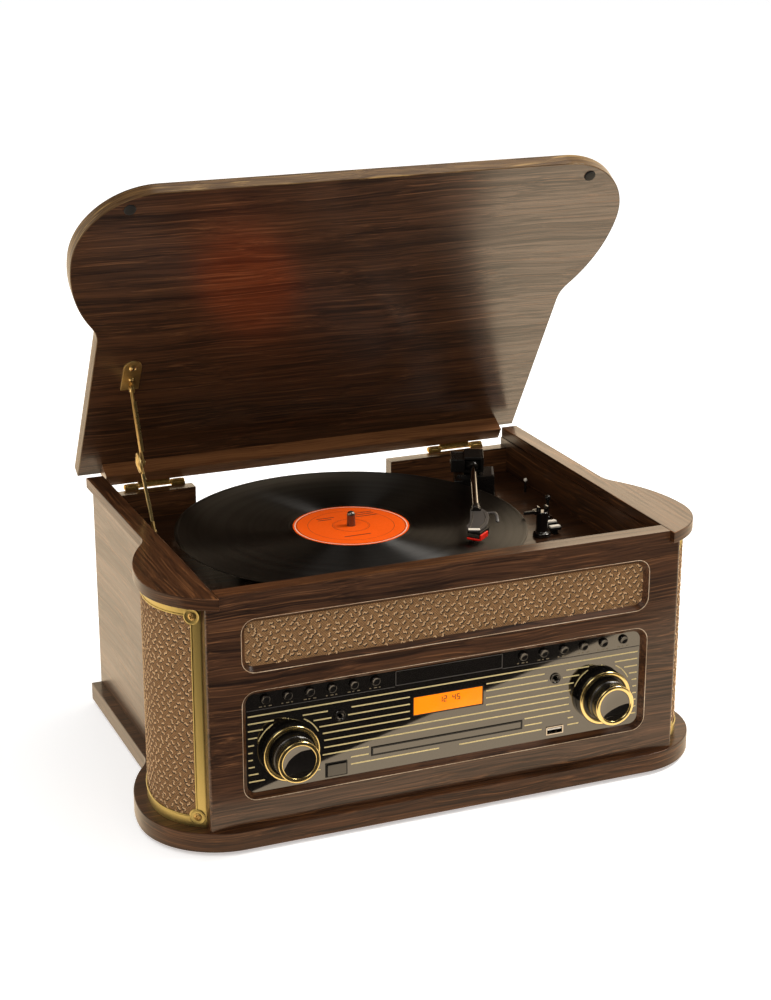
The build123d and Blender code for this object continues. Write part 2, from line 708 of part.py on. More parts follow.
def make_controls():
    """Control panel with its display, knobs, buttons and sockets, and the board behind it."""
    half = CONTROL_HALF - CONTROL_BEVEL + REBATE_MARGIN - REBATE_FIT
    low = CONTROL_LOW + CONTROL_BEVEL - REBATE_MARGIN + REBATE_FIT
    high = CONTROL_HIGH - CONTROL_BEVEL + REBATE_MARGIN - REBATE_FIT
    panel = block(-half, half, PANEL_Y, PANEL_BACK, low, high)
    panel += block(PLATE_LEFT, PLATE_RIGHT, PANEL_Y - PLATE_PROUD, PANEL_Y,
                   PLATE_LOW, CONTROL_HIGH - CONTROL_BEVEL - REBATE_FIT)
    board_face = block(-BOARD_HALF, BOARD_HALF, BOARD_Y, BOARD_Y + BOARD_THICKNESS, BOARD_LEG_LOW, high)
    board_face -= block(-BOARD_LEG_X, BOARD_LEG_X, BOARD_Y - PAST, BOARD_Y + BOARD_THICKNESS + PAST,
                        BOARD_LEG_LOW - PAST, BOARD_LOW)
    spacer_x = BUTTON_FIRST_X - BUTTON_PITCH
    for x in (-BOARD_HALF + 2 * SPACER_RADIUS, -spacer_x, spacer_x, BOARD_HALF - 2 * SPACER_RADIUS):
        for z in (JACK_Z, high - 2 * SPACER_RADIUS):
            panel += rod_y(PANEL_BACK - OVERLAP, BOARD_Y, x, z, SPACER_RADIUS)

    reach = PANEL_BACK + BUTTON_FLANGE_THICKNESS + BUTTON_FIT
    for name, x in button_places():
        panel -= rod_y(PANEL_Y - PAST, PANEL_BACK + PAST, x, BUTTON_Z, BUTTON_RADIUS + BUTTON_FIT)
        cap = rod_y(PANEL_Y - BUTTON_PROUD, reach, x, BUTTON_Z, BUTTON_RADIUS)
        cap += rod_y(PANEL_BACK + BUTTON_FIT, reach, x, BUTTON_Z, BUTTON_RADIUS + BUTTON_FLANGE)
        save(name, cap)
        switch_front = reach + BUTTON_TRAVEL + BUTTON_FIT
        board_face += block(x - SWITCH_SIZE / 2, x + SWITCH_SIZE / 2, switch_front, BOARD_Y,
                            BUTTON_Z - SWITCH_SIZE / 2, BUTTON_Z + SWITCH_SIZE / 2)

    for name, x in (("volume_knob", -KNOB_X), ("tuning_knob", KNOB_X)):
        save(name, make_knob(x))
        panel -= rod_y(PANEL_Y - PAST, PANEL_BACK + PAST, x, KNOB_Z, KNOB_SHAFT_RADIUS + SHAFT_ROOM)
        pot = block(x - POT_SIZE / 2, x + POT_SIZE / 2, BOARD_Y - POT_DEPTH, BOARD_Y,
                    KNOB_Z - POT_SIZE / 2, KNOB_Z + POT_SIZE / 2)
        pot -= rod_y(BOARD_Y - POT_DEPTH - PAST, BOARD_Y - POT_DEPTH + POT_BORE_DEPTH,
                     x, KNOB_Z, KNOB_SHAFT_RADIUS + SHAFT_FIT)
        board_face += pot

    panel -= block(DISPLAY_LEFT, DISPLAY_RIGHT, PANEL_Y - PAST, PANEL_BACK + PAST, DISPLAY_LOW,
                   DISPLAY_HIGH)
    lens_front = PANEL_Y - DISPLAY_PROUD
    lens_back = lens_front + DISPLAY_THICKNESS
    lens = block(DISPLAY_LEFT + REBATE_FIT, DISPLAY_RIGHT - REBATE_FIT, lens_front, lens_back,
                 DISPLAY_LOW + REBATE_FIT, DISPLAY_HIGH - REBATE_FIT)
    save("display_window", lens)
    board_face += block(DISPLAY_LEFT + MODULE_INSET, DISPLAY_RIGHT - MODULE_INSET, lens_back + REBATE_FIT,
                        BOARD_Y, DISPLAY_LOW + MODULE_INSET, DISPLAY_HIGH - MODULE_INSET)

    panel -= block(POWER_LEFT, POWER_RIGHT, PANEL_Y - PAST, PANEL_BACK + PAST, POWER_LOW, POWER_HIGH)
    key = block(POWER_LEFT + BUTTON_FIT, POWER_RIGHT - BUTTON_FIT, PANEL_Y - POWER_PROUD,
                PANEL_BACK + BUTTON_FIT, POWER_LOW + BUTTON_FIT, POWER_HIGH - BUTTON_FIT)
    key_back = PANEL_BACK + BUTTON_FIT + POWER_FLANGE
    key += block(POWER_LEFT - POWER_FLANGE, POWER_RIGHT + POWER_FLANGE, PANEL_BACK + BUTTON_FIT,
                 key_back, POWER_LOW - POWER_FLANGE, POWER_HIGH + POWER_FLANGE)
    save("power_button", key)
    board_face += block(POWER_LEFT + MODULE_INSET, POWER_RIGHT - MODULE_INSET,
                        key_back + POWER_TRAVEL + BUTTON_FIT, BOARD_Y,
                        POWER_LOW + MODULE_INSET, POWER_HIGH - MODULE_INSET)

    panel -= block(TRAY_LEFT - TRAY_FIT, TRAY_RIGHT + TRAY_FIT, PANEL_Y - PAST, PANEL_BACK + PAST,
                   TRAY_LOW - TRAY_FIT, TRAY_HIGH + TRAY_FIT)

    sockets = []
    panel -= block(USB_LEFT, USB_RIGHT, PANEL_Y - PAST, PANEL_BACK + PAST, USB_LOW, USB_HIGH)
    usb = block(USB_LEFT + REBATE_FIT, USB_RIGHT - REBATE_FIT, PANEL_Y, PANEL_Y + USB_DEPTH,
                USB_LOW + REBATE_FIT, USB_HIGH - REBATE_FIT)
    usb += block(USB_LEFT - USB_FLANGE, USB_RIGHT + USB_FLANGE, PANEL_Y - USB_PROUD, PANEL_Y,
                 USB_LOW - USB_FLANGE, USB_HIGH + USB_FLANGE)
    wall = REBATE_FIT + USB_WALL
    usb -= block(USB_LEFT + wall, USB_RIGHT - wall, PANEL_Y - USB_PROUD - PAST,
                 PANEL_Y + USB_DEPTH - USB_WALL,
                 USB_LOW + wall, USB_HIGH - wall)
    sockets.append(usb)
    for x in (-JACK_X, JACK_X):
        panel -= rod_y(PANEL_Y - PAST, PANEL_BACK + PAST, x, JACK_Z, JACK_RADIUS - JACK_LIP)
        jack = rod_y(PANEL_Y - JACK_PROUD, PANEL_Y, x, JACK_Z, JACK_RADIUS)
        jack += rod_y(PANEL_Y - JACK_PROUD / 2, PANEL_Y + JACK_DEPTH, x, JACK_Z,
                      JACK_RADIUS - JACK_LIP - REBATE_FIT)
        jack -= rod_y(PANEL_Y - JACK_PROUD - PAST, PANEL_Y + JACK_DEPTH - JACK_WALL, x, JACK_Z,
                      JACK_BORE_RADIUS)
        sockets.append(jack)
    save("front_sockets", group(*sockets))
    save("control_panel", panel)
    save("main_board", board_face)


def make_knob(x):
    """A stepped knob on its shaft."""
    steps = (
        (KNOB_SKIRT_RADIUS, PANEL_Y - FIT_GAP - KNOB_SKIRT_LENGTH, PANEL_Y - FIT_GAP),
        (KNOB_WAIST_RADIUS, PANEL_Y - KNOB_SKIRT_LENGTH - KNOB_WAIST_LENGTH, PANEL_Y - KNOB_SKIRT_LENGTH),
        (KNOB_NOSE_RADIUS, PANEL_Y - KNOB_SKIRT_LENGTH - KNOB_WAIST_LENGTH - KNOB_NOSE_LENGTH,
         PANEL_Y - KNOB_SKIRT_LENGTH - KNOB_WAIST_LENGTH),
    )
    knob = rod_y(PANEL_Y - 2 * FIT_GAP, BOARD_Y - POT_DEPTH + POT_BORE_DEPTH - SHAFT_FIT, x, KNOB_Z,
                 KNOB_SHAFT_RADIUS)
    for radius, front, back in steps:
        knob += rod_y(front, back, x, KNOB_Z, radius)
    return knob


def make_disc_parts():
    """Disc tray and the mechanism that carries it."""
    middle = (TRAY_LEFT + TRAY_RIGHT) / 2
    front = PANEL_Y - TRAY_PROUD
    tray = block(TRAY_LEFT, TRAY_RIGHT, front, front + TRAY_FRONT_THICKNESS, TRAY_LOW, TRAY_HIGH)
    plate_low = TRAY_LOW + TRAY_LIP
    plate_top = TRAY_HIGH - TRAY_LIP
    tray += block(TRAY_LEFT + TRAY_PLATE_MARGIN, TRAY_RIGHT - TRAY_PLATE_MARGIN, PANEL_Y,
                  PANEL_Y + TRAY_DEPTH,
                  plate_low, plate_top)
    tray -= rod_z(plate_top - TRAY_HOLLOW_DEPTH, plate_top + PAST, middle, PANEL_Y + TRAY_HOLLOW_BEHIND,
                  TRAY_HOLLOW_RADIUS)
    save("cd_tray", tray)

    left = TRAY_LEFT - MECH_MARGIN
    right = TRAY_RIGHT + MECH_MARGIN
    front = FRONT_BACK
    back = PANEL_Y + TRAY_DEPTH + MECH_MARGIN
    inner_low = plate_low - TRAY_FIT
    inner_high = TRAY_HIGH + MECH_HEAD
    mech = block(left, right, front, back, inner_low - MECH_WALL, inner_high + MECH_WALL)
    mech -= block(TRAY_LEFT + TRAY_PLATE_MARGIN - TRAY_FIT, TRAY_RIGHT - TRAY_PLATE_MARGIN + TRAY_FIT,
                  front - PAST, back - MECH_WALL, inner_low, inner_high)
    for x in (left, right - MECH_LEG):
        for y in (front, back - MECH_LEG):
            mech += block(x, x + MECH_LEG, y, y + MECH_LEG, BASE_TOP, inner_low - MECH_WALL + OVERLAP)
    save("cd_mechanism", mech)


def make_power_parts():
    """Transformer on the base board, and the socket plate in the rear panel."""
    core = block(TRANSFORMER_X - CORE_LENGTH / 2, TRANSFORMER_X + CORE_LENGTH / 2,
                 TRANSFORMER_Y - CORE_WIDTH / 2, TRANSFORMER_Y + CORE_WIDTH / 2,
                 BASE_TOP, BASE_TOP + CORE_HEIGHT)
    coil_mid = BASE_TOP + CORE_HEIGHT / 2
    core += block(TRANSFORMER_X - COIL_LENGTH / 2, TRANSFORMER_X + COIL_LENGTH / 2,
                  TRANSFORMER_Y - COIL_WIDTH / 2, TRANSFORMER_Y + COIL_WIDTH / 2,
                  coil_mid - COIL_HEIGHT / 2, coil_mid + COIL_HEIGHT / 2)
    core += block(TRANSFORMER_X - FLANGE_LENGTH / 2, TRANSFORMER_X + FLANGE_LENGTH / 2,
                  TRANSFORMER_Y - CORE_WIDTH / 2, TRANSFORMER_Y + CORE_WIDTH / 2,
                  BASE_TOP, BASE_TOP + FLANGE_THICKNESS)
    save("transformer", core)

    middle_z = (SOCKETS_LOW + SOCKETS_HIGH) / 2
    plate = block(SOCKETS_LEFT - SOCKET_MARGIN, SOCKETS_RIGHT + SOCKET_MARGIN, REAR_FACE - SOCKET_PLATE,
                  REAR_FACE,
                  SOCKETS_LOW - SOCKET_MARGIN, SOCKETS_HIGH + SOCKET_MARGIN)
    first = SOCKETS_RIGHT - SOCKET_PITCH
    for x in (first, first - SOCKET_PITCH):
        plate += rod_y(REAR_FACE - OVERLAP, REAR_FACE + SOCKET_LENGTH, x, middle_z, SOCKET_RADIUS)
        plate -= rod_y(REAR_FACE, REAR_FACE + SOCKET_LENGTH + PAST, x, middle_z, SOCKET_BORE)
    gland_x = SOCKETS_LEFT + SOCKET_PITCH
    plate += rod_y(REAR_FACE - OVERLAP, REAR_FACE + GLAND_LENGTH, gland_x, middle_z, GLAND_RADIUS)
    plate -= rod_y(REAR_FACE - SOCKET_PLATE - PAST, REAR_FACE + GLAND_LENGTH + PAST, gland_x, middle_z,
                   GLAND_BORE_RADIUS)
    save("rear_sockets", plate)


def motor_place():
    """The X and Y of the motor shaft."""
    turn = math.radians(MOTOR_ANGLE)
    return PLATTER_X + MOTOR_DISTANCE * math.cos(turn), PLATTER_Y + MOTOR_DISTANCE * math.sin(turn)


def make_deck():
    """Deck plate with the bearing and every hole that something passes through."""
    half = WALL_INNER - FIT_GAP
    front = FRONT_BACK + FIT_GAP
    rear = REAR_FACE - FIT_GAP
    deck = block(-half, half, front, rear, DECK_TOP - DECK_RIM, DECK_TOP)
    deck -= block(-half + DECK_RIM_WALL, half - DECK_RIM_WALL, front + DECK_RIM_WALL, rear - DECK_RIM_WALL,
                  DECK_TOP - DECK_RIM - PAST, DECK_BOTTOM)
    shaft_low = RECORD_TOP + SPINDLE_ABOVE - SPINDLE_LENGTH
    bearing_top = PLATTER_BOTTOM - FIT_GAP - BEARING_GAP
    deck += rod_z(shaft_low, bearing_top, PLATTER_X, PLATTER_Y, BEARING_RADIUS)
    deck -= rod_z(shaft_low - PAST, bearing_top + PAST, PLATTER_X, PLATTER_Y, SPINDLE_RADIUS + SPINDLE_FIT)
    x, y = motor_place()
    deck -= rod_z(DECK_BOTTOM - PAST, DECK_TOP + PAST, x, y, PULLEY_HOLE_RADIUS)
    turn = math.radians(LIFTER_STEM_ANGLE)
    deck -= rod_z(DECK_BOTTOM - PAST, DECK_TOP + PAST, ARM_X + LIFTER_RADIUS * math.cos(turn),
                  ARM_Y + LIFTER_RADIUS * math.sin(turn), LIFTER_STEM_RADIUS + FIT_GAP)
    for x, y in ((LEVER_X, SPEED_Y), (STOP_X, STOP_Y)):
        room = LEVER_TRAVEL + LEVER_STEM_WIDTH / 2 + SLOT_FIT
        deck -= block(x - LEVER_STEM_LENGTH / 2 - SLOT_FIT, x + LEVER_STEM_LENGTH / 2 + SLOT_FIT,
                      y - room, y + room, DECK_BOTTOM - PAST, DECK_TOP + PAST)
    deck -= block(CUE_X - CUE_WIDTH / 2 - FIT_GAP, CUE_X + CUE_WIDTH / 2 + FIT_GAP,
                  CUE_Y - CUE_HUB_RADIUS - FIT_GAP, CUE_Y + CUE_HUB_RADIUS + FIT_GAP,
                  DECK_BOTTOM - PAST, DECK_TOP + PAST)
    for side in (-1, 1):
        ear = CUE_X + side * (CUE_WIDTH / 2 + FIT_GAP + CUE_EAR / 2)
        deck += block(ear - CUE_EAR / 2, ear + CUE_EAR / 2, CUE_Y - CUE_HUB_RADIUS, CUE_Y + CUE_HUB_RADIUS,
                      DECK_TOP - OVERLAP, DECK_TOP + 2 * CUE_HUB_RADIUS)
    deck -= rod_x(CUE_X - CUE_WIDTH - CUE_EAR, CUE_X + CUE_WIDTH + CUE_EAR, CUE_Y,
                  DECK_TOP + CUE_HUB_RADIUS,
                  PIN_RADIUS + SPINDLE_FIT)
    save("deck_plate", deck)


def make_turntable():
    """Platter with its spindle, slip mat, record, motor, pulley and belt."""
    top = MAT_BOTTOM
    platter = rod_z(top - PLATTER_TOP, top, PLATTER_X, PLATTER_Y, PLATTER_RADIUS)
    rim = rod_z(PLATTER_BOTTOM, top, PLATTER_X, PLATTER_Y, PLATTER_RADIUS)
    rim -= rod_z(PLATTER_BOTTOM - PAST, top - PLATTER_TOP, PLATTER_X, PLATTER_Y,
                 PLATTER_RADIUS - PLATTER_WALL)
    ring_low = top - PLATTER_TOP - DRIVE_RING_HEIGHT
    ring = rod_z(ring_low, top - PLATTER_TOP / 2, PLATTER_X, PLATTER_Y, DRIVE_RING_RADIUS)
    ring -= rod_z(ring_low - PAST, top - PLATTER_TOP, PLATTER_X, PLATTER_Y,
                  DRIVE_RING_RADIUS - DRIVE_RING_WALL)
    platter += rim
    platter += ring
    platter += rod_z(PLATTER_BOTTOM - FIT_GAP, top - PLATTER_TOP / 2, PLATTER_X, PLATTER_Y, HUB_RADIUS)
    spindle_top = RECORD_TOP + SPINDLE_ABOVE
    platter += rod_z(spindle_top - SPINDLE_LENGTH, spindle_top - SPINDLE_RADIUS, PLATTER_X, PLATTER_Y,
                     SPINDLE_RADIUS)
    platter += Pos(PLATTER_X, PLATTER_Y, spindle_top - SPINDLE_RADIUS) * Sphere(SPINDLE_RADIUS)
    save("platter", platter)

    hole = SPINDLE_RADIUS + SPINDLE_FIT
    mat = rod_z(MAT_BOTTOM, RECORD_BOTTOM, PLATTER_X, PLATTER_Y, MAT_RADIUS)
    mat -= rod_z(MAT_BOTTOM - PAST, RECORD_BOTTOM + PAST, PLATTER_X, PLATTER_Y, hole)
    save("slip_mat", mat)
    record = rod_z(RECORD_BOTTOM, RECORD_TOP, PLATTER_X, PLATTER_Y, RECORD_RADIUS)
    record -= rod_z(RECORD_BOTTOM - PAST, RECORD_TOP + PAST, PLATTER_X, PLATTER_Y, hole)
    save("record", record)

    x, y = motor_place()
    motor_top = DECK_BOTTOM - FIT_GAP
    motor = rod_z(motor_top - MOTOR_HEIGHT, motor_top, x, y, MOTOR_RADIUS)
    motor -= rod_z(motor_top - MOTOR_SHAFT_SOCKET, motor_top + PAST, x, y, MOTOR_SHAFT_RADIUS + SHAFT_FIT)
    save("motor", motor)
    pulley_low = DECK_TOP + PULLEY_ABOVE_DECK
    pulley = rod_z(pulley_low, pulley_low + PULLEY_HEIGHT, x, y, PULLEY_RADIUS)
    pulley += rod_z(motor_top - MOTOR_SHAFT_SOCKET + FIT_GAP, pulley_low + OVERLAP, x, y,
                    MOTOR_SHAFT_RADIUS)
    save("motor_pulley", pulley)

    belt_low = pulley_low + (PULLEY_HEIGHT - BELT_HEIGHT) / 2
    outer = belt_solid(DRIVE_RING_RADIUS + BELT_GAP + BELT_THICKNESS,
                       PULLEY_RADIUS + BELT_GAP + BELT_THICKNESS,
                       belt_low, belt_low + BELT_HEIGHT)
    inner = belt_solid(DRIVE_RING_RADIUS + BELT_GAP, PULLEY_RADIUS + BELT_GAP, belt_low - PAST,
                       belt_low + BELT_HEIGHT + PAST)
    save("drive_belt", outer - inner)


def belt_solid(large, small, z0, z1):
    """The solid inside a belt that runs round two wheels."""
    lean = math.acos((large - small) / MOTOR_DISTANCE)
    rim = math.cos(lean)
    rise = math.sin(lean)
    face = make_face([
        Line((large * rim, large * rise), (MOTOR_DISTANCE + small * rim, small * rise)),
        ThreePointArc((MOTOR_DISTANCE + small * rim, small * rise), (MOTOR_DISTANCE + small, 0),
                      (MOTOR_DISTANCE + small * rim, -small * rise)),
        Line((MOTOR_DISTANCE + small * rim, -small * rise), (large * rim, -large * rise)),
        ThreePointArc((large * rim, -large * rise), (-large, 0), (large * rim, large * rise)),
    ])
    return Pos(PLATTER_X, PLATTER_Y, z0) * Rot(0, 0, MOTOR_ANGLE) * extrude(face, amount=z1 - z0)


def make_tonearm():
    """Turret, pivot block, arm with its headshell, cartridge and lifter."""
    place = Pos(ARM_X, ARM_Y, 0) * Rot(0, 0, ARM_ANGLE)
    turret_top = DECK_TOP + TURRET_HEIGHT
    turret = block(-TURRET_LENGTH / 2, TURRET_LENGTH / 2, TURRET_LEFT, TURRET_RIGHT, DECK_TOP, turret_top)
    turret -= block(-TURRET_LENGTH, TURRET_LENGTH, TURRET_LEFT - PAST, -PIVOT_NECK_RADIUS,
                    turret_top - TURRET_STEP, turret_top + PAST)
    turret -= rod_z(turret_top - PIVOT_SHAFT_LENGTH - FIT_GAP, turret_top + PAST, 0, 0,
                    PIVOT_SHAFT_RADIUS + SHAFT_FIT)
    save("tonearm_base", place * turret)

    neck_low = turret_top + FIT_GAP
    floor_low = neck_low + PIVOT_NECK_HEIGHT
    inner = BLOCK_WIDTH / 2 + FIT_GAP
    pivot = block(PIVOT_REAR, PIVOT_FRONT, PIVOT_LEFT, PIVOT_RIGHT, floor_low, PIVOT_TOP)
    pivot -= block(PIVOT_REAR + PIVOT_ROOF, PIVOT_FRONT + PAST, -inner, inner, floor_low + PIVOT_FLOOR,
                   PIVOT_TOP - PIVOT_ROOF)
    pivot += rod_z(neck_low, floor_low, 0, 0, PIVOT_NECK_RADIUS)
    pivot += rod_z(turret_top - PIVOT_SHAFT_LENGTH, floor_low, 0, 0, PIVOT_SHAFT_RADIUS)
    pivot -= rod_y(-PIVOT_RIGHT - PAST, PIVOT_RIGHT + PAST, 0, ARM_Z, PIN_RADIUS + SHAFT_FIT)
    save("tonearm_pivot", place * pivot)

    arm = block(-BLOCK_LENGTH / 2, BLOCK_LENGTH / 2, -BLOCK_WIDTH / 2, BLOCK_WIDTH / 2,
                ARM_Z - BLOCK_HEIGHT / 2, ARM_Z + BLOCK_HEIGHT / 2)
    arm += rod_y(-PIVOT_RIGHT, PIVOT_RIGHT, 0, ARM_Z, PIN_RADIUS)
    arm += rod_x(TUBE_START, TUBE_END, 0, ARM_Z, TUBE_RADIUS)
    arm += rod_x(TUBE_END - OVERLAP, TUBE_END + COLLAR_LENGTH, 0, ARM_Z, COLLAR_RADIUS)
    shell_start = TUBE_END + COLLAR_LENGTH / 2
    shell_far = (CARTRIDGE_WIDTH - SHELL_TAPER) / 2
    wing_side = COLLAR_RADIUS + WING_REACH
    wing_start = shell_start + (WING_FOOT - WING_LENGTH) / 2
    outline = Polyline(
        (shell_start, -COLLAR_RADIUS),
        (shell_start, COLLAR_RADIUS + SHELL_NECK),
        (wing_start, wing_side),
        (wing_start + WING_LENGTH, wing_side),
        (shell_start + WING_FOOT, COLLAR_RADIUS + SHELL_SHOULDER),
        (STYLUS_ALONG - CARTRIDGE_LENGTH + SHELL_NECK, CARTRIDGE_WIDTH - SHELL_TAPER / 2),
        (SHELL_END, STYLUS_ACROSS + shell_far),
        (SHELL_END, STYLUS_ACROSS - shell_far),
        (STYLUS_ALONG - CARTRIDGE_LENGTH, -COLLAR_RADIUS - SHELL_NECK / 2),
        close=True,
    )
    arm += Pos(0, 0, SHELL_Z) * extrude(make_face(outline), amount=SHELL_THICKNESS)
    save("tonearm", place * arm)

    tip = place * Pos(STYLUS_ALONG, STYLUS_ACROSS, 0) * Rot(0, 0, CARTRIDGE_ANGLE)
    body_top = SHELL_Z
    body_low = body_top - CARTRIDGE_HEIGHT
    low = RECORD_TOP + STYLUS_GAP
    nose = STYLUS_SETBACK
    cartridge = block(-CARTRIDGE_LENGTH, nose, -CARTRIDGE_WIDTH / 2, CARTRIDGE_WIDTH / 2, body_low,
                      body_top)
    guard_low = body_low - GUARD_HEIGHT
    guard_half = CARTRIDGE_WIDTH / 2 - GUARD_INSET
    cartridge += block(GUARD_START - CARTRIDGE_LENGTH, nose / 2, -guard_half, guard_half,
                       guard_low, body_low + OVERLAP)
    stylus = Cone(STYLUS_TIP, STYLUS_ROOT, guard_low - low + 2 * OVERLAP)
    cartridge += Pos(-nose, 0, (low + guard_low) / 2 + OVERLAP) * stylus
    save("cartridge", tip * cartridge)

    bar_top = ARM_Z - TUBE_RADIUS - LIFTER_GAP
    bar = rod_z(bar_top - LIFTER_THICKNESS, bar_top, ARM_X, ARM_Y, LIFTER_RADIUS + LIFTER_WIDTH / 2)
    bar -= rod_z(bar_top - LIFTER_THICKNESS - PAST, bar_top + PAST, ARM_X, ARM_Y,
                 LIFTER_RADIUS - LIFTER_WIDTH / 2)
    bar &= sector(LIFTER_FROM, LIFTER_TO, LIFTER_RADIUS + LIFTER_WIDTH, bar_top - LIFTER_THICKNESS, bar_top)
    turn = math.radians(LIFTER_STEM_ANGLE)
    stem_x = ARM_X + LIFTER_RADIUS * math.cos(turn)
    stem_y = ARM_Y + LIFTER_RADIUS * math.sin(turn)
    bar += rod_z(DECK_BOTTOM - 2 * LIFTER_RISE, bar_top - LIFTER_THICKNESS / 2, stem_x, stem_y,
                 LIFTER_STEM_RADIUS)
    save("arm_lifter", bar)


def sector(start, end, radius, z0, z1):
    """A wedge about the tonearm's upright axis, between two angles."""
    a = math.radians(start)
    b = math.radians(end)
    far = radius / math.cos((b - a) / 2)
    middle = (a + b) / 2
    face = make_face(Polyline(
        (0, 0),
        (radius * 2 * math.cos(a), radius * 2 * math.sin(a)),
        (far * 2 * math.cos(middle), far * 2 * math.sin(middle)),
        (radius * 2 * math.cos(b), radius * 2 * math.sin(b)),
        close=True,
    ))
    return Pos(ARM_X, ARM_Y, z0) * extrude(face, amount=z1 - z0)


def make_deck_controls():
    """Arm rest with its clip, cue lever, speed lever and auto stop lever."""
    top = DECK_TOP + REST_HEIGHT
    post = rod_z(DECK_TOP, DECK_TOP + REST_FOOT_HEIGHT, REST_X, REST_Y, REST_FOOT_RADIUS)
    post += rod_z(DECK_TOP, top + PRONG_HEIGHT, REST_X, REST_Y, REST_RADIUS)
    post -= block(REST_X - PRONG_GAP / 2, REST_X + PRONG_GAP / 2, REST_Y - REST_RADIUS - PAST,
                  REST_Y + REST_RADIUS + PAST, top, top + PRONG_HEIGHT + PAST)
    clip_z = DECK_TOP + CLIP_Z
    face = REST_X - REST_RADIUS + CLIP_SEAT
    slot_half = CLIP_THICKNESS / 2 + FIT_GAP
    ear_far = REST_X - REST_RADIUS - CLIP_HEIGHT
    post += block(ear_far, REST_X, REST_Y - slot_half - CUE_EAR, REST_Y + slot_half + CUE_EAR,
                  clip_z - CLIP_HEIGHT / 2, clip_z + CLIP_HEIGHT / 2)
    post -= block(ear_far - PAST, face, REST_Y - slot_half, REST_Y + slot_half,
                  clip_z - CLIP_HEIGHT, clip_z + CLIP_HEIGHT)
    pin_x = REST_X - REST_RADIUS - CLIP_HEIGHT / 2
    pin_reach = slot_half + CUE_EAR
    post -= rod_y(REST_Y - pin_reach - PAST, REST_Y + pin_reach + PAST, pin_x, clip_z,
                  CLIP_PIN_RADIUS + SPINDLE_FIT)
    save("arm_rest", post)
    clip = block(pin_x - CLIP_LENGTH, pin_x, REST_Y - CLIP_THICKNESS / 2, REST_Y + CLIP_THICKNESS / 2,
                 clip_z - CLIP_HEIGHT / 2, clip_z + CLIP_HEIGHT / 2)
    clip += rod_y(REST_Y - CLIP_THICKNESS / 2, REST_Y + CLIP_THICKNESS / 2, pin_x, clip_z, CLIP_HEIGHT / 2)
    clip += rod_y(REST_Y - pin_reach, REST_Y + pin_reach, pin_x, clip_z, CLIP_PIN_RADIUS)
    save("rest_clip", clip)

    hub_z = DECK_TOP + CUE_HUB_RADIUS
    cue = rod_x(CUE_X - CUE_WIDTH / 2, CUE_X + CUE_WIDTH / 2, CUE_Y, hub_z, CUE_HUB_RADIUS)
    cue += rod_x(CUE_X - CUE_WIDTH / 2 - FIT_GAP - CUE_EAR, CUE_X + CUE_WIDTH / 2 + FIT_GAP + CUE_EAR,
                 CUE_Y, hub_z, PIN_RADIUS)
    cue += rod_z(hub_z, DECK_TOP + CUE_HEIGHT - CUE_KNOB_RADIUS, CUE_X, CUE_Y, CUE_RADIUS)
    cue += Pos(CUE_X, CUE_Y, DECK_TOP + CUE_HEIGHT - CUE_KNOB_RADIUS) * Sphere(CUE_KNOB_RADIUS)
    save("cue_lever", cue)

    for name, x, y in (("speed_lever", LEVER_X, SPEED_Y), ("auto_stop_lever", STOP_X, STOP_Y)):
        low = DECK_TOP + LEVER_ABOVE_DECK
        lever = block(x - LEVER_LENGTH / 2, x + LEVER_LENGTH / 2, y - LEVER_WIDTH / 2, y + LEVER_WIDTH / 2,
                      low, low + LEVER_THICKNESS)
        lever += block(x - LEVER_STEM_LENGTH / 2, x + LEVER_STEM_LENGTH / 2, y - LEVER_STEM_WIDTH / 2,
                       y + LEVER_STEM_WIDTH / 2, DECK_BOTTOM - LEVER_STEM_WIDTH, low + OVERLAP)
        foot_half = LEVER_STEM_LENGTH / 2 + LEVER_FOOT
        lever += block(x - foot_half, x + foot_half, y - LEVER_STEM_WIDTH / 2,
                       y + LEVER_STEM_WIDTH / 2, DECK_BOTTOM - LEVER_STEM_WIDTH, DECK_BOTTOM - FIT_GAP)
        save(name, lever)


HINGE_LINE = Axis((0, HINGE_Y, HINGE_Z), (1, 0, 0))


def opened(shape):
    """A piece of the lid, turned from closed to open."""
    return shape.rotate(HINGE_LINE, -LID_OPEN)


def make_lid():
    """Lid panel, batten and bumpers."""
    plan = lobed_face(SIDE_HALF, NOTCH_Y, LOBE_REACH, LOBE_Y, NOSE_RADIUS, NOTCH_FILLET)
    save("lid_panel", opened(board(plan, LID_UNDER, LID_UNDER + LID_THICKNESS)))
    half = WALL_INNER - BATTEN_SIDE_FIT
    batten = block(-half, half, REAR_Y - BATTEN_LENGTH, REAR_Y, BATTEN_UNDER, LID_UNDER)
    save("lid_batten", opened(batten))
    bumpers = []
    for x in (-BUMPER_X, BUMPER_X):
        bumpers.append(opened(rod_z(LID_UNDER - BUMPER_THICKNESS, LID_UNDER, x, REAR_Y - BUMPER_FROM_REAR,
                                    BUMPER_RADIUS)))
    save("lid_bumpers", group(*bumpers))


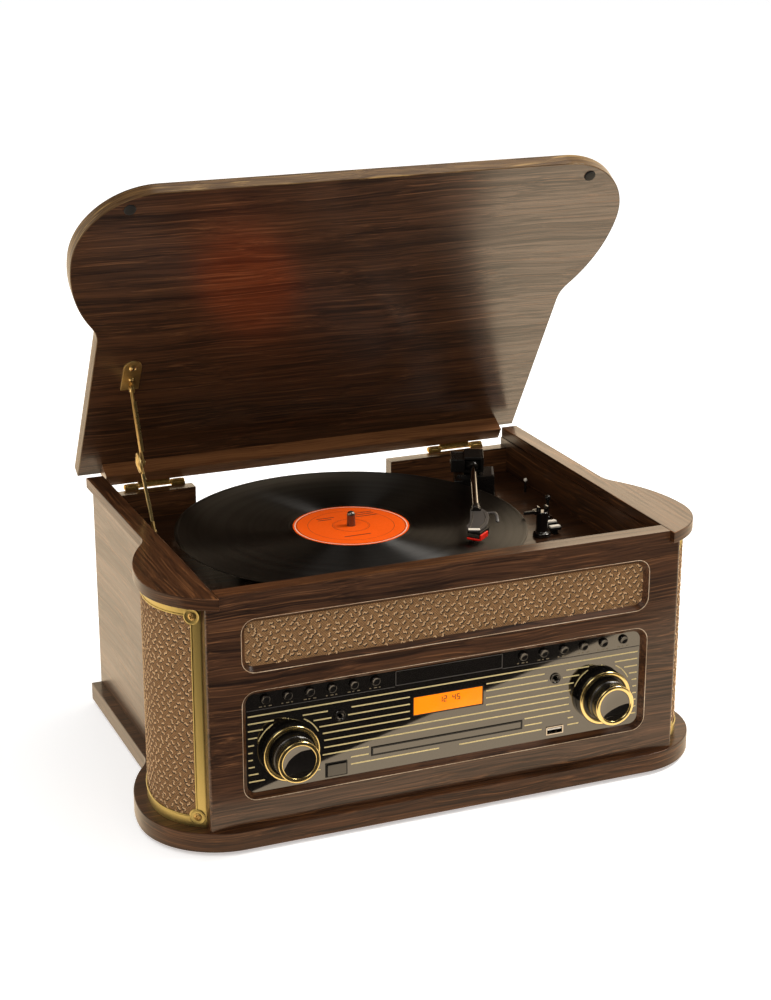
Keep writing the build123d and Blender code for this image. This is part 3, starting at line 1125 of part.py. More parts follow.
def make_hinges():
    """Two barrel hinges, each with a lid leaf, a body leaf and a pin."""
    lid_leaves = []
    body_leaves = []
    for centre in (-HINGE_X, HINGE_X):
        left = centre - HINGE_LENGTH / 2
        right = centre + HINGE_LENGTH / 2
        mid_left = centre - KNUCKLE_LENGTH / 2
        mid_right = centre + KNUCKLE_LENGTH / 2
        bore = rod_x(left - PAST, right + PAST, HINGE_Y, HINGE_Z, HINGE_PIN_RADIUS + HINGE_PIN_FIT)
        leaf = rod_x(mid_left, mid_right, HINGE_Y, HINGE_Z, KNUCKLE_RADIUS)
        leaf += block(mid_left, mid_right, LEAF_START_Y, HINGE_Y, BATTEN_UNDER - LEAF_THICKNESS,
                      BATTEN_UNDER)
        leaf -= block(mid_left - PAST, mid_right + PAST, REAR_Y + FIT_GAP, HINGE_Y, BATTEN_UNDER, CAP_TOP)
        leaf -= bore
        lid_leaves.append(opened(leaf))
        body = block(left, right, LEAF_START_Y, LEAF_START_Y + LEAF_STRIP, BLOCK_TOP,
                     BLOCK_TOP + LEAF_THICKNESS)
        for x0, x1 in ((left, mid_left - KNUCKLE_GAP), (mid_right + KNUCKLE_GAP, right)):
            body += block(x0, x1, LEAF_START_Y, HINGE_Y, BLOCK_TOP, BLOCK_TOP + LEAF_THICKNESS)
            body += rod_x(x0, x1, HINGE_Y, HINGE_Z, KNUCKLE_RADIUS)
        body -= bore
        body_leaves.append(body)
        body_leaves.append(rod_x(left - KNUCKLE_GAP, right + KNUCKLE_GAP, HINGE_Y, HINGE_Z,
                                 HINGE_PIN_RADIUS))
    save("lid_hinge_leaves", group(*lid_leaves))
    save("body_hinge_leaves", group(*body_leaves))


def link(x, y0, z0, y1, z1, start_hole, end_hole):
    """A flat link with round ends in a plane across X, with a hole at each end that has a radius."""
    length = math.hypot(y1 - y0, z1 - z0)
    lean = math.degrees(math.atan2(z1 - z0, y1 - y0))
    bar = Plane.YZ * Pos(length / 2, 0) * SlotCenterToCenter(length, LINK_WIDTH)
    solid = Pos(x, y0, z0) * Rot(lean, 0, 0) * extrude(bar, amount=LINK_THICKNESS)
    if start_hole:
        solid -= rod_x(x - PAST, x + LINK_THICKNESS + PAST, y0, z0, start_hole)
    if end_hole:
        solid -= rod_x(x - PAST, x + LINK_THICKNESS + PAST, y1, z1, end_hole)
    return solid


def make_stay():
    """Folding stay: bracket on the lid, upper link, lower link and bracket on the wall."""
    upper_x = STAY_IN_FROM_WALL - WALL_INNER
    lower_x = upper_x - LINK_GAP - LINK_THICKNESS
    hole = STAY_RIVET_RADIUS + STAY_RIVET_FIT
    closed_y = REAR_Y - STAY_TOP_FROM_REAR
    closed_z = LID_UNDER - STAY_TOP_DROP
    turn = math.radians(LID_OPEN)
    top_y = HINGE_Y + (closed_y - HINGE_Y) * math.cos(turn) + (closed_z - HINGE_Z) * math.sin(turn)
    top_z = HINGE_Z - (closed_y - HINGE_Y) * math.sin(turn) + (closed_z - HINGE_Z) * math.cos(turn)
    elbow_y = HINGE_Y - STAY_ELBOW_FORWARD
    elbow_z = HINGE_Z + STAY_ELBOW_UP
    foot_y = HINGE_Y - STAY_FOOT_FORWARD
    foot_z = HINGE_Z - STAY_FOOT_DOWN
    save("stay_upper_link", link(upper_x, top_y, top_z, elbow_y, elbow_z, hole, hole))
    lower = link(lower_x, elbow_y, elbow_z, foot_y, foot_z, 0, hole)
    lower += rod_x(lower_x - STAY_HEAD_HEIGHT, lower_x + LINK_THICKNESS + LINK_GAP - FIT_GAP,
                   elbow_y, elbow_z, STAY_HEAD_RADIUS)
    save("stay_lower_link", lower)

    flange_x = upper_x + LINK_THICKNESS + FIT_GAP
    bracket = block(flange_x - STAY_PLATE_WIDTH / 2, flange_x + STAY_PLATE_WIDTH / 2,
                    closed_y + STAY_PLATE_BEYOND - STAY_PLATE_LENGTH, closed_y + STAY_PLATE_BEYOND,
                    LID_UNDER - STAY_PLATE_THICKNESS, LID_UNDER)
    bracket += rod_x(flange_x, flange_x + LINK_THICKNESS, closed_y, closed_z, LINK_WIDTH / 2)
    bracket += block(flange_x, flange_x + LINK_THICKNESS, closed_y - LINK_WIDTH / 2,
                     closed_y + LINK_WIDTH / 2,
                     closed_z, LID_UNDER)
    bracket += rod_x(upper_x - FIT_GAP - STAY_HEAD_HEIGHT, flange_x + OVERLAP, closed_y, closed_z,
                     STAY_RIVET_RADIUS)
    bracket += rod_x(upper_x - FIT_GAP - STAY_HEAD_HEIGHT, upper_x - FIT_GAP, closed_y, closed_z,
                     STAY_HEAD_RADIUS)
    save("stay_lid_bracket", opened(bracket))

    wall = -WALL_INNER
    plate = block(wall, wall + STAY_PLATE_THICKNESS, foot_y - WALL_PLATE_LENGTH / 2,
                  foot_y + WALL_PLATE_LENGTH / 2, foot_z - WALL_PLATE_WIDTH,
                  foot_z + WALL_PLATE_WIDTH / 2)
    plate += rod_x(wall, lower_x - FIT_GAP, foot_y, foot_z, LINK_WIDTH / 2)
    plate += rod_x(wall, lower_x + LINK_THICKNESS + FIT_GAP + STAY_HEAD_HEIGHT, foot_y, foot_z,
                   STAY_RIVET_RADIUS)
    plate += rod_x(lower_x + LINK_THICKNESS + FIT_GAP,
                   lower_x + LINK_THICKNESS + FIT_GAP + STAY_HEAD_HEIGHT,
                   foot_y, foot_z, STAY_HEAD_RADIUS)
    save("stay_wall_bracket", plate)


make_base()
make_walls()
make_columns()
make_speakers()
make_controls()
make_disc_parts()
make_power_parts()
make_deck()
make_turntable()
make_tonearm()
make_deck_controls()
make_lid()
make_hinges()
make_stay()
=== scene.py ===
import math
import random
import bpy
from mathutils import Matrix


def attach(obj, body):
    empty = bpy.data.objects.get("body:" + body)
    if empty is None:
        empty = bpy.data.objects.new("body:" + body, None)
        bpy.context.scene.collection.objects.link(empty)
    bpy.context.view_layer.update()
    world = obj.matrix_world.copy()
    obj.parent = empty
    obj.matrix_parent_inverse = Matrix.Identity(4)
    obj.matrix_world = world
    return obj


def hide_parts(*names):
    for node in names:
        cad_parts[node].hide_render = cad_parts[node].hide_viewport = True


bl_info = {
    "name": "Record player dressing",
    "version": (1, 0, 0),
    "blender": (4, 5, 0),
    "location": "3D View > Sidebar > Record player",
    "description": "Gives the record player its woods, cloth, brass, controls and turntable parts",
    "category": "Object",
}

import bmesh
import bpy
from bpy.props import FloatProperty, FloatVectorProperty, IntProperty, PointerProperty
from mathutils import Matrix, Vector
from mathutils.geometry import tessellate_polygon

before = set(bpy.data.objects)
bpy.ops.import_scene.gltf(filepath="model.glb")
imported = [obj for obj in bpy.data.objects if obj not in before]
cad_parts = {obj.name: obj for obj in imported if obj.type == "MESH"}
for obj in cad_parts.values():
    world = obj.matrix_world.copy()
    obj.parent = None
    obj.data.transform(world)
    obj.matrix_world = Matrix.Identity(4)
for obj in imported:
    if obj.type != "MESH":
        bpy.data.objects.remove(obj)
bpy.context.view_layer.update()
MM = 0.001

# Places of the cabinet, in millimetres from the floor under its middle
REAR = 180.0
FRONT = -139.5
FRONT_BACK = -124.0
BASE_LOW = 3.5
BASE_TOP = 19.7
WALL_TOP = 206.2
CAP_TOP = 215.8
DECK_TOP = 175.5
WALL_OUTER = 205.5
TONGUE = 195.2
NOSE = (178.6, -80.0)
FLANK = (116.6, -80.0)
NOSE_RADIUS = 56.0
FLANK_RADIUS = 117.99
PANEL = -134.5
PLATTER = (-20.6, 26.9)
RECORD_TOP = 195.5
ARM_Z = 206.5
KNOB_X = 138.5
KNOB_Z = 77.0
JACK_X = 95.3
HINGE = (183.5, 201.0)
LID_OPEN = 58.8
LID_LOW = 217.6
LID_TOP = 229.6
STAY_TOP = (130.14, 306.29)
STAY_ELBOW = (103.1, 248.8)
STAY_FOOT = (68.0, 197.5)
# Lobed plans: half width behind, reach, Y of the lobe, and the radii of nose, fillet and flank
BOARD_PLAN = (214.5, 245.6, -80.0, 67.0, 30.0, 128.99)
CAP_PLAN = (211.0, 239.8, -82.0, 66.5, 30.0, 136.9)
SIDES = (-1, 1)


def rgb(red, green, blue):
    """A colour given from 0 to 255 as the screen shows it, in the linear values that materials take"""
    channels = []
    for value in (red, green, blue):
        value /= 255
        channels.append(value / 12.92 if value <= 0.04045 else ((value + 0.055) / 1.055) ** 2.4)
    return tuple(channels)


# What glossy rays see in place of the plain studio: its tint and its strength
WARM = (1.0, 0.80, 0.56, 1.0)
GLARE = 2.0


def opaque(colour):
    return (*colour[:3], 1.0)


def darker(colour, share):
    return [channel * share for channel in colour]


def colour_setting(name, description, *shown):
    return FloatVectorProperty(name=name, description=description, subtype="COLOR",
                               default=rgb(*shown), min=0, max=1)


def length_setting(name, description, usual, least, most):
    """A length that is given in millimetres"""
    return FloatProperty(name=name, description=description, subtype="DISTANCE",
                         default=usual * MM, min=least * MM, max=most * MM)


class PlayerSettings(bpy.types.PropertyGroup):
    """Sizes and colours of the record player that a user may change"""

    wood_dark: colour_setting("Wood dark", "Dark bands of the wood", 36, 22, 14)
    wood_middle: colour_setting("Wood middle", "Main tone of the wood", 82, 50, 28)
    wood_light: colour_setting("Wood light", "Pale streaks of the wood", 126, 82, 48)
    cloth: colour_setting("Cloth", "Ground of the loudspeaker cloth", 166, 124, 82)
    figure: colour_setting("Cloth figure", "Raised figures of the loudspeaker cloth", 216, 174, 125)
    brass: colour_setting("Brass", "Frames, rings and hinges", 182, 165, 107)
    label: colour_setting("Record label", "Paper label of the record", 242, 90, 11)
    amber: colour_setting("Display", "Light of the display", 246, 128, 8)
    edge_round: length_setting("Edge round", "Rounding of the boards' edges", 0.7, 0.1, 2)
    figure_length: length_setting("Figure length", "Length of one raised figure of the cloth", 3.3, 2.5, 9)
    line_width: length_setting("Line width", "Width of the printed gold lines", 1.15, 0.4, 2)
    knob_flutes: IntProperty(
        name="Knob flutes", description="Fine grooves round a knob's barrel", default=60, min=24, max=90)


# ---- Forms: each gives points in millimetres and faces ----


class Shape:
    """Points and faces, with a finish for each face, gathered before they become one piece"""

    def __init__(self, place=None):
        self.place = place
        self.points = []
        self.faces = []
        self.finishes = []
        self.flat = []

    def add(self, form, finish=0, place=None, flat=None):
        """Add a form, put at its own place or else at the shape's"""
        points, faces = form
        place = place or self.place
        start = len(self.points)
        for point in points:
            point = Vector(point)
            self.points.append(place @ point if place else point)
        self.faces.extend([start + i for i in face] for face in faces)
        self.finishes.extend([finish] * len(faces))
        self.flat.extend(flat if flat else [(0.0, 0.0)] * len(points))
        return self

    def boxes(self, *boxes, finish=0, place=None):
        """Add rounded boxes of one finish, each as what block is given"""
        for box in boxes:
            self.add(block(*box), finish, place)
        return self


def soften(points, radius, steps=2, closed=True):
    """Round the corners of a flat line; radius is one number or one for each point"""
    result = []
    count = len(points)
    for i, point in enumerate(points):
        size = radius[i] if hasattr(radius, "__len__") else radius
        if size <= 0 or (not closed and i in (0, count - 1)):
            result.append(tuple(point))
            continue
        here = Vector(point)
        before = Vector(points[i - 1]) - here
        after = Vector(points[(i + 1) % count]) - here
        start = here + before.normalized() * min(size, before.length * 0.48)
        end = here + after.normalized() * min(size, after.length * 0.48)
        for k in range(steps + 1):
            t = k / steps
            result.append(tuple(start.lerp(here, t).lerp(here.lerp(end, t), t)))
    return result


def arc(centre, radius, start, end, steps):
    """Points along an arc, from one angle to the other in degrees"""
    points = []
    for k in range(steps + 1):
        angle = math.radians(start + (end - start) * k / steps)
        points.append((centre[0] + radius * math.cos(angle), centre[1] + radius * math.sin(angle)))
    return points


def outset(outline, distance):
    """The closed outline moved outward"""
    moved = []
    count = len(outline)
    for i in range(count):
        here = Vector(outline[i])
        first = (here - Vector(outline[i - 1])).normalized()
        second = (Vector(outline[(i + 1) % count]) - here).normalized()
        normal = Vector((first.y + second.y, -first.x - second.x))
        scale = 1 + first.dot(second)
        moved.append(tuple(here + normal * (distance / max(scale, 0.3))))
    return moved


def rings_to_faces(count, rings, closed=True):
    """Quads between rings of equal length that follow each other in a list of points"""
    faces = []
    for ring in range(rings - 1):
        low = ring * count
        for i in range(count if closed else count - 1):
            j = (i + 1) % count
            faces.append((low + i, low + j, low + count + j, low + count + i))
    return faces


def slab(outline, low, high, edge=0.5, steps=2):
    """A board of this outline with rounded edges"""
    points = []
    for level, sign in ((low, 1), (high, -1)):
        for k in range(steps + 1):
            part = k / steps if sign > 0 else 1 - k / steps
            angle = part * math.pi / 2
            inset = edge * (1 - math.sin(angle))
            height = level + sign * edge * (1 - math.cos(angle))
            points.extend((x, y, height) for x, y in outset(outline, -inset))
    count = len(outline)
    rings = 2 * (steps + 1)
    faces = rings_to_faces(count, rings)
    faces.append(tuple(reversed(range(count))))
    faces.append(tuple(range((rings - 1) * count, rings * count)))
    return points, faces


def mirrored(form):
    points, faces = form
    return [(-p[0], p[1], p[2]) for p in points], [tuple(reversed(face)) for face in faces]


def add_board(shape, outline, low, high, edge, mirror=False):
    """Add a board: finish 0 on its faces, and finish 1 with a flat place round its rim"""
    form = slab(outline, low, high, edge, 3)
    length = 0.0
    along = []
    for i, point in enumerate(outline):
        along.append(length)
        length += (Vector(outline[(i + 1) % len(outline)]) - Vector(point)).length
    flat = [(along[i % len(outline)] * MM, point[2] * MM) for i, point in enumerate(form[0])]
    shape.add(mirrored(form) if mirror else form, 1, flat=flat)
    shape.finishes[-2:] = [0, 0]


def block(low, high, edge=0.4, steps=2):
    """A box with rounded edges"""
    x0, y0, z0 = low
    x1, y1, z1 = high
    return slab(soften([(x0, y0), (x1, y0), (x1, y1), (x0, y1)], edge, steps), z0, z1, edge, steps)


def ball(radius, height):
    """A ball for the end of a stalk, as a turned form"""
    steps = [math.pi * k / 12 for k in range(13)]
    return lathe([(radius * math.sin(a), height - radius * math.cos(a)) for a in steps], 24)


def lathe(profile, sides=48, flutes=0, depth=0.0, fluted=(), closed=False):
    """A turned form about Z from (radius, height) points; fluted points get fine grooves"""
    points = []
    faces = []
    rings = []
    for index, (radius, height) in enumerate(profile):
        if radius < 1e-6:
            rings.append([len(points)])
            points.append((0, 0, height))
            continue
        rings.append(list(range(len(points), len(points) + sides)))
        for i in range(sides):
            angle = math.tau * i / sides
            cut = depth * (0.5 - 0.5 * math.cos(flutes * angle)) if index in fluted else 0
            points.append(((radius - cut) * math.cos(angle), (radius - cut) * math.sin(angle), height))
    pairs = list(zip(rings, rings[1:]))
    if closed:
        pairs.append((rings[-1], rings[0]))
    for low, high in pairs:
        for i in range(sides):
            j = (i + 1) % sides
            if len(low) == 1:
                faces.append((low[0], high[j], high[i]))
            elif len(high) == 1:
                faces.append((low[i], low[j], high[0]))
            else:
                faces.append((low[i], low[j], high[j], high[i]))
    return points, faces


def rod(radius, low, high, sides=20):
    """A round bar with flat ends, as a turned form"""
    return lathe([(0, low), (radius, low), (radius, high), (0, high)], sides)


def dome(radius, height):
    """A low domed rivet head"""
    return lathe([(radius, 0), (radius * 0.97, height * 0.35), (radius * 0.8, height * 0.7),
                  (radius * 0.5, height * 0.93), (0, height)], 28)


def tube(path, radius, sides=10, closed=False, flat=1.0):
    """A round bar along points, or a flat one where flat is less than 1"""
    path = [Vector(p) for p in path]
    count = len(path)
    points = []
    normal = None
    for i, here in enumerate(path):
        ahead = path[(i + 1) % count] if closed or i < count - 1 else here
        behind = path[i - 1] if closed or i > 0 else here
        along = (ahead - behind).normalized()
        if normal is None:
            normal = along.orthogonal().normalized()
            if abs(along.z) < 0.9:
                normal = (Vector((0, 0, 1)) - along * along.z).normalized()
        normal = (normal - along * normal.dot(along)).normalized()
        side = along.cross(normal)
        for k in range(sides):
            angle = math.tau * k / sides
            across, up = math.cos(angle) * radius, math.sin(angle) * radius * flat
            points.append(here + side * across + normal * up)
    faces = rings_to_faces(sides, count)
    if closed:
        last = (count - 1) * sides
        for k in range(sides):
            j = (k + 1) % sides
            faces.append((last + k, last + j, j, k))
    else:
        faces.append(tuple(reversed(range(sides))))
        faces.append(tuple(range((count - 1) * sides, count * sides)))
    return points, faces


def smooth(path, steps=4):
    """A smooth line through points"""
    points = [Vector(p) for p in path]
    result = []
    for i in range(len(points) - 1):
        before = points[max(i - 1, 0)]
        start, end = points[i], points[i + 1]
        after = points[min(i + 2, len(points) - 1)]
        for k in range(steps):
            t = k / steps
            square = (2 * before - 5 * start + 4 * end - after) * t ** 2
            cube = (3 * start - before - 3 * end + after) * t ** 3
            result.append(0.5 * (2 * start + (end - before) * t + square + cube))
    result.append(points[-1])
    return result


def cloth_form(start, low, width, height, columns, rows, to_point, side=1):
    """A cloth over a rectangle, with its flat place; to_point turns a flat place into a point"""
    points = []
    flat = []
    for i in range(columns + 1):
        for j in range(rows + 1):
            s, z = start + width * i / columns, low + height * j / rows
            points.append(to_point(s, z))
            flat.append((s * MM, z * MM))
    faces = []
    for i in range(columns):
        for j in range(rows):
            a = i * (rows + 1) + j
            quad = (a, a + rows + 1, a + rows + 2, a + 1)
            faces.append(quad if side > 0 else tuple(reversed(quad)))
    return (points, faces), flat


def ringed(levels, middle):
    """Walls between loops of equal length, each with its own height, about this middle"""
    points = [(x + middle, z, height) for loop, height in levels for x, z in loop]
    return points, rings_to_faces(len(levels[0][0]), len(levels))


def at(x, y, z, turn=0.0, axis="Z"):
    return Matrix.Translation((x, y, z)) @ Matrix.Rotation(math.radians(turn), 4, axis)


def facing(x=0, z=0):
    """Place a form that is drawn upright, so that it looks out of the control panel at this point"""
    return at(x, PANEL, z, 90, "X")


def opened():
    """Turns what is drawn with the lid closed to where the open lid holds it"""
    return at(0, *HINGE, -LID_OPEN, "X") @ Matrix.Translation((0, -HINGE[0], -HINGE[1]))


def upright(x):
    """Place of a form that is drawn in Y and Z and is thick along X"""
    return Matrix(((0, 0, 1, x), (1, 0, 0, 0), (0, 1, 0, 0), (0, 0, 0, 1)))


def add_link(shape, start, end, x, thick, wide, rib, rib_from):
    """A flat bar with round ends from start to end in Y and Z, and a rib along its front edge"""
    way = Vector(end) - Vector(start)
    length = way.length
    along = way.normalized()
    place = Matrix(((0, 0, 1, x), (along.x, -along.y, 0, start[0]), (along.y, along.x, 0, start[1]),
                    (0, 0, 0, 1)))
    bar = arc((0, 0), wide / 2, 90, 270, 10) + arc((length, 0), wide / 2, -90, 90, 10)
    shape.add(slab(bar, 0, thick, 0.3), 0, place)
    low, high = sorted((rib, thick if rib < 0 else 0.0))
    rib_to, front, back = length - 9, -wide / 2, -wide / 2 + 1.3
    edge = [(rib_from, front), (rib_to, front), (rib_to, back), (rib_from, back)]
    shape.add(slab(edge, low, high, 0.3), 1, place)


# Every material by the name of its finish
FINISH = {}


def add_object(name, data, place=(0, 0, 0)):
    made = bpy.data.objects.new(name, data)
    made.location = place
    bpy.context.scene.collection.objects.link(made)
    return made


def make_piece(name, shape, body, finishes, replaces=(), closed=True, sharp=35, thickness=0,
               flat=False):
    """Turn a gathered shape into one piece that rides on a body and wears these finishes"""
    mesh = bpy.data.meshes.new(name)
    mesh.from_pydata([point * MM for point in shape.points], [], shape.faces)
    for polygon, finish in zip(mesh.polygons, shape.finishes):
        polygon.material_index = finish
        polygon.use_smooth = True
    for finish in finishes:
        mesh.materials.append(FINISH[finish])
    if flat:
        layer = mesh.uv_layers.new(name="Flat")
        for loop in mesh.loops:
            layer.data[loop.index].uv = shape.flat[loop.vertex_index]
    if closed:
        work = bmesh.new()
        work.from_mesh(mesh)
        bmesh.ops.recalc_face_normals(work, faces=work.faces)
        work.to_mesh(mesh)
        work.free()
    mesh.set_sharp_from_angle(angle=math.radians(sharp))
    piece = add_object(name, mesh)
    if thickness:
        skin = piece.modifiers.new("Thickness", "SOLIDIFY")
        skin.thickness = thickness * MM
        skin.offset = -1
    weight = piece.modifiers.new("Even shading", "WEIGHTED_NORMAL")
    weight.keep_sharp = True
    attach(piece, body)
    if replaces:
        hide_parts(*replaces)
    return piece


# ---- Finishes ----


def feed(tree, target, value):
    """Lead another node's output to this input, or set its value"""
    if isinstance(value, bpy.types.NodeSocket):
        tree.links.new(value, target)
    else:
        target.default_value = value


def node(tree, kind, links=None, **settings):
    """Add one node; links maps an input to a value or to another node's output"""
    made = tree.nodes.new(kind)
    for key, value in settings.items():
        setattr(made, key, value)
    for socket, value in (links or {}).items():
        feed(tree, made.inputs[socket], value)
    return made


def calc(tree, operation, *values):
    return node(tree, "ShaderNodeMath", dict(enumerate(values)), operation=operation).outputs[0]


def calc_vector(tree, operation, *values):
    return node(tree, "ShaderNodeVectorMath", dict(enumerate(values)), operation=operation).outputs[0]


def blend(tree, amount, first, second):
    """Mix two colours"""
    return node(tree, "ShaderNodeMix", {0: amount, 6: first, 7: second}, data_type="RGBA").outputs[2]


def ramp(tree, value, low, high, to_low=0.0, to_high=1.0):
    made = node(tree, "ShaderNodeMapRange",
                {"Value": value, "From Min": low, "From Max": high, "To Min": to_low, "To Max": to_high},
                interpolation_type="SMOOTHSTEP")
    return made.outputs["Result"]


def noise(tree, vector, scale, detail=2.0, rough=0.5):
    return node(tree, "ShaderNodeTexNoise",
                {"Vector": vector, "Scale": scale, "Detail": detail, "Roughness": rough}).outputs["Fac"]


def stretched(tree, vector, x, y, z):
    return calc_vector(tree, "MULTIPLY", vector, (x, y, z))


def new_group(name, inputs, outputs):
    """A shader node group; its sockets are given as names with their kinds"""
    tree = bpy.data.node_groups.new(name, "ShaderNodeTree")
    for way, sockets in (("INPUT", inputs), ("OUTPUT", outputs)):
        for label, kind in sockets.items():
            tree.interface.new_socket(name=label, in_out=way, socket_type=kind)
    entry = tree.nodes.new("NodeGroupInput")
    leave = tree.nodes.new("NodeGroupOutput")
    return tree, entry.outputs, leave.inputs


def send(tree, targets, values):
    """Lead each of these outputs to the input of the same name"""
    for label, value in values.items():
        feed(tree, targets[label], value)


COLOUR = "NodeSocketColor"
NUMBER = "NodeSocketFloat"
VECTOR = "NodeSocketVector"
RELIEF = 0.2 * MM


def grain_group():
    """Wood grain that runs along the X of the place it is given"""
    tree, given, wanted = new_group(
        "Wood grain",
        {"Place": VECTOR, "Dark": COLOUR, "Middle": COLOUR, "Light": COLOUR, "Streaks": NUMBER},
        {"Color": COLOUR, "Roughness": NUMBER, "Height": NUMBER, "Coat": NUMBER})
    place = given["Place"]
    sway = node(tree, "ShaderNodeTexNoise",
                {"Vector": stretched(tree, place, 1.0, 2.5, 2.5), "Scale": 7.0, "Detail": 2.0})
    shift = calc_vector(tree, "SUBTRACT", sway.outputs["Color"], (0.5, 0.5, 0.5))
    shift = stretched(tree, shift, 0.0, 0.014, 0.014)
    line = calc_vector(tree, "ADD", stretched(tree, place, 0.012, 1.0, 1.0), shift)
    broad = noise(tree, line, 55.0, 2.0)
    bands = noise(tree, line, 270.0, 3.0, 0.6)
    fine = noise(tree, line, 800.0, 3.0, 0.65)
    tone = calc(tree, "MULTIPLY", broad, 0.20)
    tone = calc(tree, "MULTIPLY_ADD", bands, 0.38, tone)
    tone = calc(tree, "MULTIPLY_ADD", fine, 0.42, tone)
    tone = ramp(tree, tone, 0.38, 0.62)
    colour = blend(tree, tone, given["Dark"], given["Middle"])
    streak = ramp(tree, noise(tree, line, 460.0, 4.0, 0.65), 0.52, 0.76)
    streak = calc(tree, "MULTIPLY", streak, given["Streaks"])
    colour = blend(tree, streak, colour, given["Light"])
    pore_place = stretched(tree, line, 0.9, 1.0, 1.0)
    pores = ramp(tree, noise(tree, pore_place, 1500.0, 1.0), 0.56, 0.70)
    colour = blend(tree, calc(tree, "MULTIPLY", pores, 0.45), colour, given["Dark"])
    rough = ramp(tree, fine, 0.3, 0.7, 0.32, 0.44)
    height = calc(tree, "MULTIPLY_ADD", pores, -0.6, fine)
    coat = ramp(tree, tone, 0.0, 1.0, 0.62, 1.0)
    send(tree, wanted, {"Color": colour, "Roughness": rough, "Height": height, "Coat": coat})
    return tree


def weave_group():
    """Plain weave over a flat place in metres"""
    tree, given, wanted = new_group(
        "Weave", {"Place": VECTOR, "Warp": COLOUR, "Weft": COLOUR, "Threads": NUMBER},
        {"Color": COLOUR, "Roughness": NUMBER, "Height": NUMBER})
    parts = node(tree, "ShaderNodeSeparateXYZ", {0: given["Place"]})
    across, along = (calc(tree, "MULTIPLY", parts.outputs[k], given["Threads"]) for k in range(2))
    over = calc(tree, "ADD", *(calc(tree, "FLOOR", way) for way in (across, along)))
    over = calc(tree, "ABSOLUTE", calc(tree, "MODULO", over, 2.0))
    rises = [calc(tree, "ABSOLUTE", calc(tree, "SINE", calc(tree, "MULTIPLY", way, math.pi)))
             for way in (across, along)]
    mixed = node(tree, "ShaderNodeMix", {0: over, 2: rises[0], 3: rises[1]}).outputs[0]
    uneven = noise(tree, given["Place"], 420.0, 3.0, 0.6)
    colour = blend(tree, over, given["Warp"], given["Weft"])
    # Darker where the threads dip: painted shade between them, times a random uneven tone
    thread_shade_and_tone = calc(tree, "MULTIPLY_ADD", mixed, 0.55, 0.45)
    thread_shade_and_tone = calc(tree, "MULTIPLY", thread_shade_and_tone, ramp(tree, uneven, 0.3, 0.7, 0.75, 1.15))
    colour = node(tree, "ShaderNodeVectorMath", {0: colour, "Scale": thread_shade_and_tone}, operation="SCALE").outputs[0]
    rough = ramp(tree, uneven, 0.2, 0.8, 0.7, 0.95)
    send(tree, wanted, {"Color": colour, "Roughness": rough, "Height": mixed})
    return tree


def wear_group():
    """Small changes of tone and sheen over a surface, with fine relief"""
    tree, given, wanted = new_group(
        "Fine wear",
        {"Place": VECTOR, "Tint": COLOUR, "Other": COLOUR, "Scale": NUMBER, "Rough low": NUMBER,
         "Rough high": NUMBER},
        {"Color": COLOUR, "Roughness": NUMBER, "Height": NUMBER})
    fine = noise(tree, given["Place"], given["Scale"], 4.0, 0.6)
    wide = noise(tree, given["Place"], 22.0, 3.0, 0.5)
    both = calc(tree, "MULTIPLY_ADD", fine, 0.5, calc(tree, "MULTIPLY", wide, 0.5))
    colour = blend(tree, ramp(tree, both, 0.35, 0.65), given["Tint"], given["Other"])
    span = node(tree, "ShaderNodeMapRange",
                {"Value": both, "From Min": 0.3, "From Max": 0.7, "To Min": given["Rough low"],
                 "To Max": given["Rough high"]}).outputs["Result"]
    send(tree, wanted, {"Color": colour, "Roughness": span, "Height": fine})
    return tree


# The shared node groups by name, filled with the finishes
GROUPS = {}


def start_material(name):
    """A new material that is kept under its name, with its nodes, its shader and its place"""
    material = bpy.data.materials.new(name)
    material.use_nodes = True
    tree = material.node_tree
    FINISH[name] = material
    return tree, tree.nodes["Principled BSDF"], tree.nodes.new("ShaderNodeTexCoord").outputs["Object"]


def add_bump(tree, shader, strength, distance, height):
    relief = node(tree, "ShaderNodeBump", {"Strength": strength, "Distance": distance, "Height": height})
    tree.links.new(relief.outputs["Normal"], shader.inputs["Normal"])


def add_group(tree, shader, name, links, bump, distance, values):
    """Lead a shared group's outputs to the shader, and set or lead the other values"""
    group = node(tree, "ShaderNodeGroup", links, node_tree=GROUPS[name])
    send(tree, shader.inputs,
         {"Base Color": group.outputs["Color"], "Roughness": group.outputs["Roughness"], **values})
    add_bump(tree, shader, bump, distance, group.outputs["Height"])
    return group


def wood(name, turn, offset, tones, streaks=1.0, band=False, coat=0.75, coat_rough=0.17, coat_ior=1.5,
         relief=0.2):
    """Wood whose grain is turned about Z and moved, and runs along X or along a board's rim"""
    tree, shader, place = start_material(name)
    if band:
        place = node(tree, "ShaderNodeUVMap", uv_map="Flat").outputs["UV"]
    mapped = node(tree, "ShaderNodeMapping",
                  {"Vector": place, "Location": offset, "Rotation": (0, 0, math.radians(turn))})
    dark, middle, light = tones
    grain = add_group(tree, shader, "grain",
                      {"Place": mapped.outputs[0], "Dark": dark, "Middle": middle, "Light": light,
                       "Streaks": streaks}, relief, RELIEF,
                      {"Coat Roughness": coat_rough, "Coat IOR": coat_ior, "Specular IOR Level": 0.12})
    feed(tree, shader.inputs["Coat Weight"], calc(tree, "MULTIPLY", grain.outputs["Coat"], coat))


def surface(name, tint, other=None, rough=(0.3, 0.4), scale=300.0, bump=0.08, values=None):
    """A moulded, painted or metal surface"""
    tree, shader, place = start_material(name)
    tint = opaque(tint)
    other = opaque(other) if other else tuple(min(1, c * 1.25) for c in tint[:3]) + (1.0,)
    add_group(tree, shader, "wear",
              {"Place": place, "Tint": tint, "Other": other, "Scale": scale,
               "Rough low": rough[0], "Rough high": rough[1]}, bump, RELIEF, values or {})


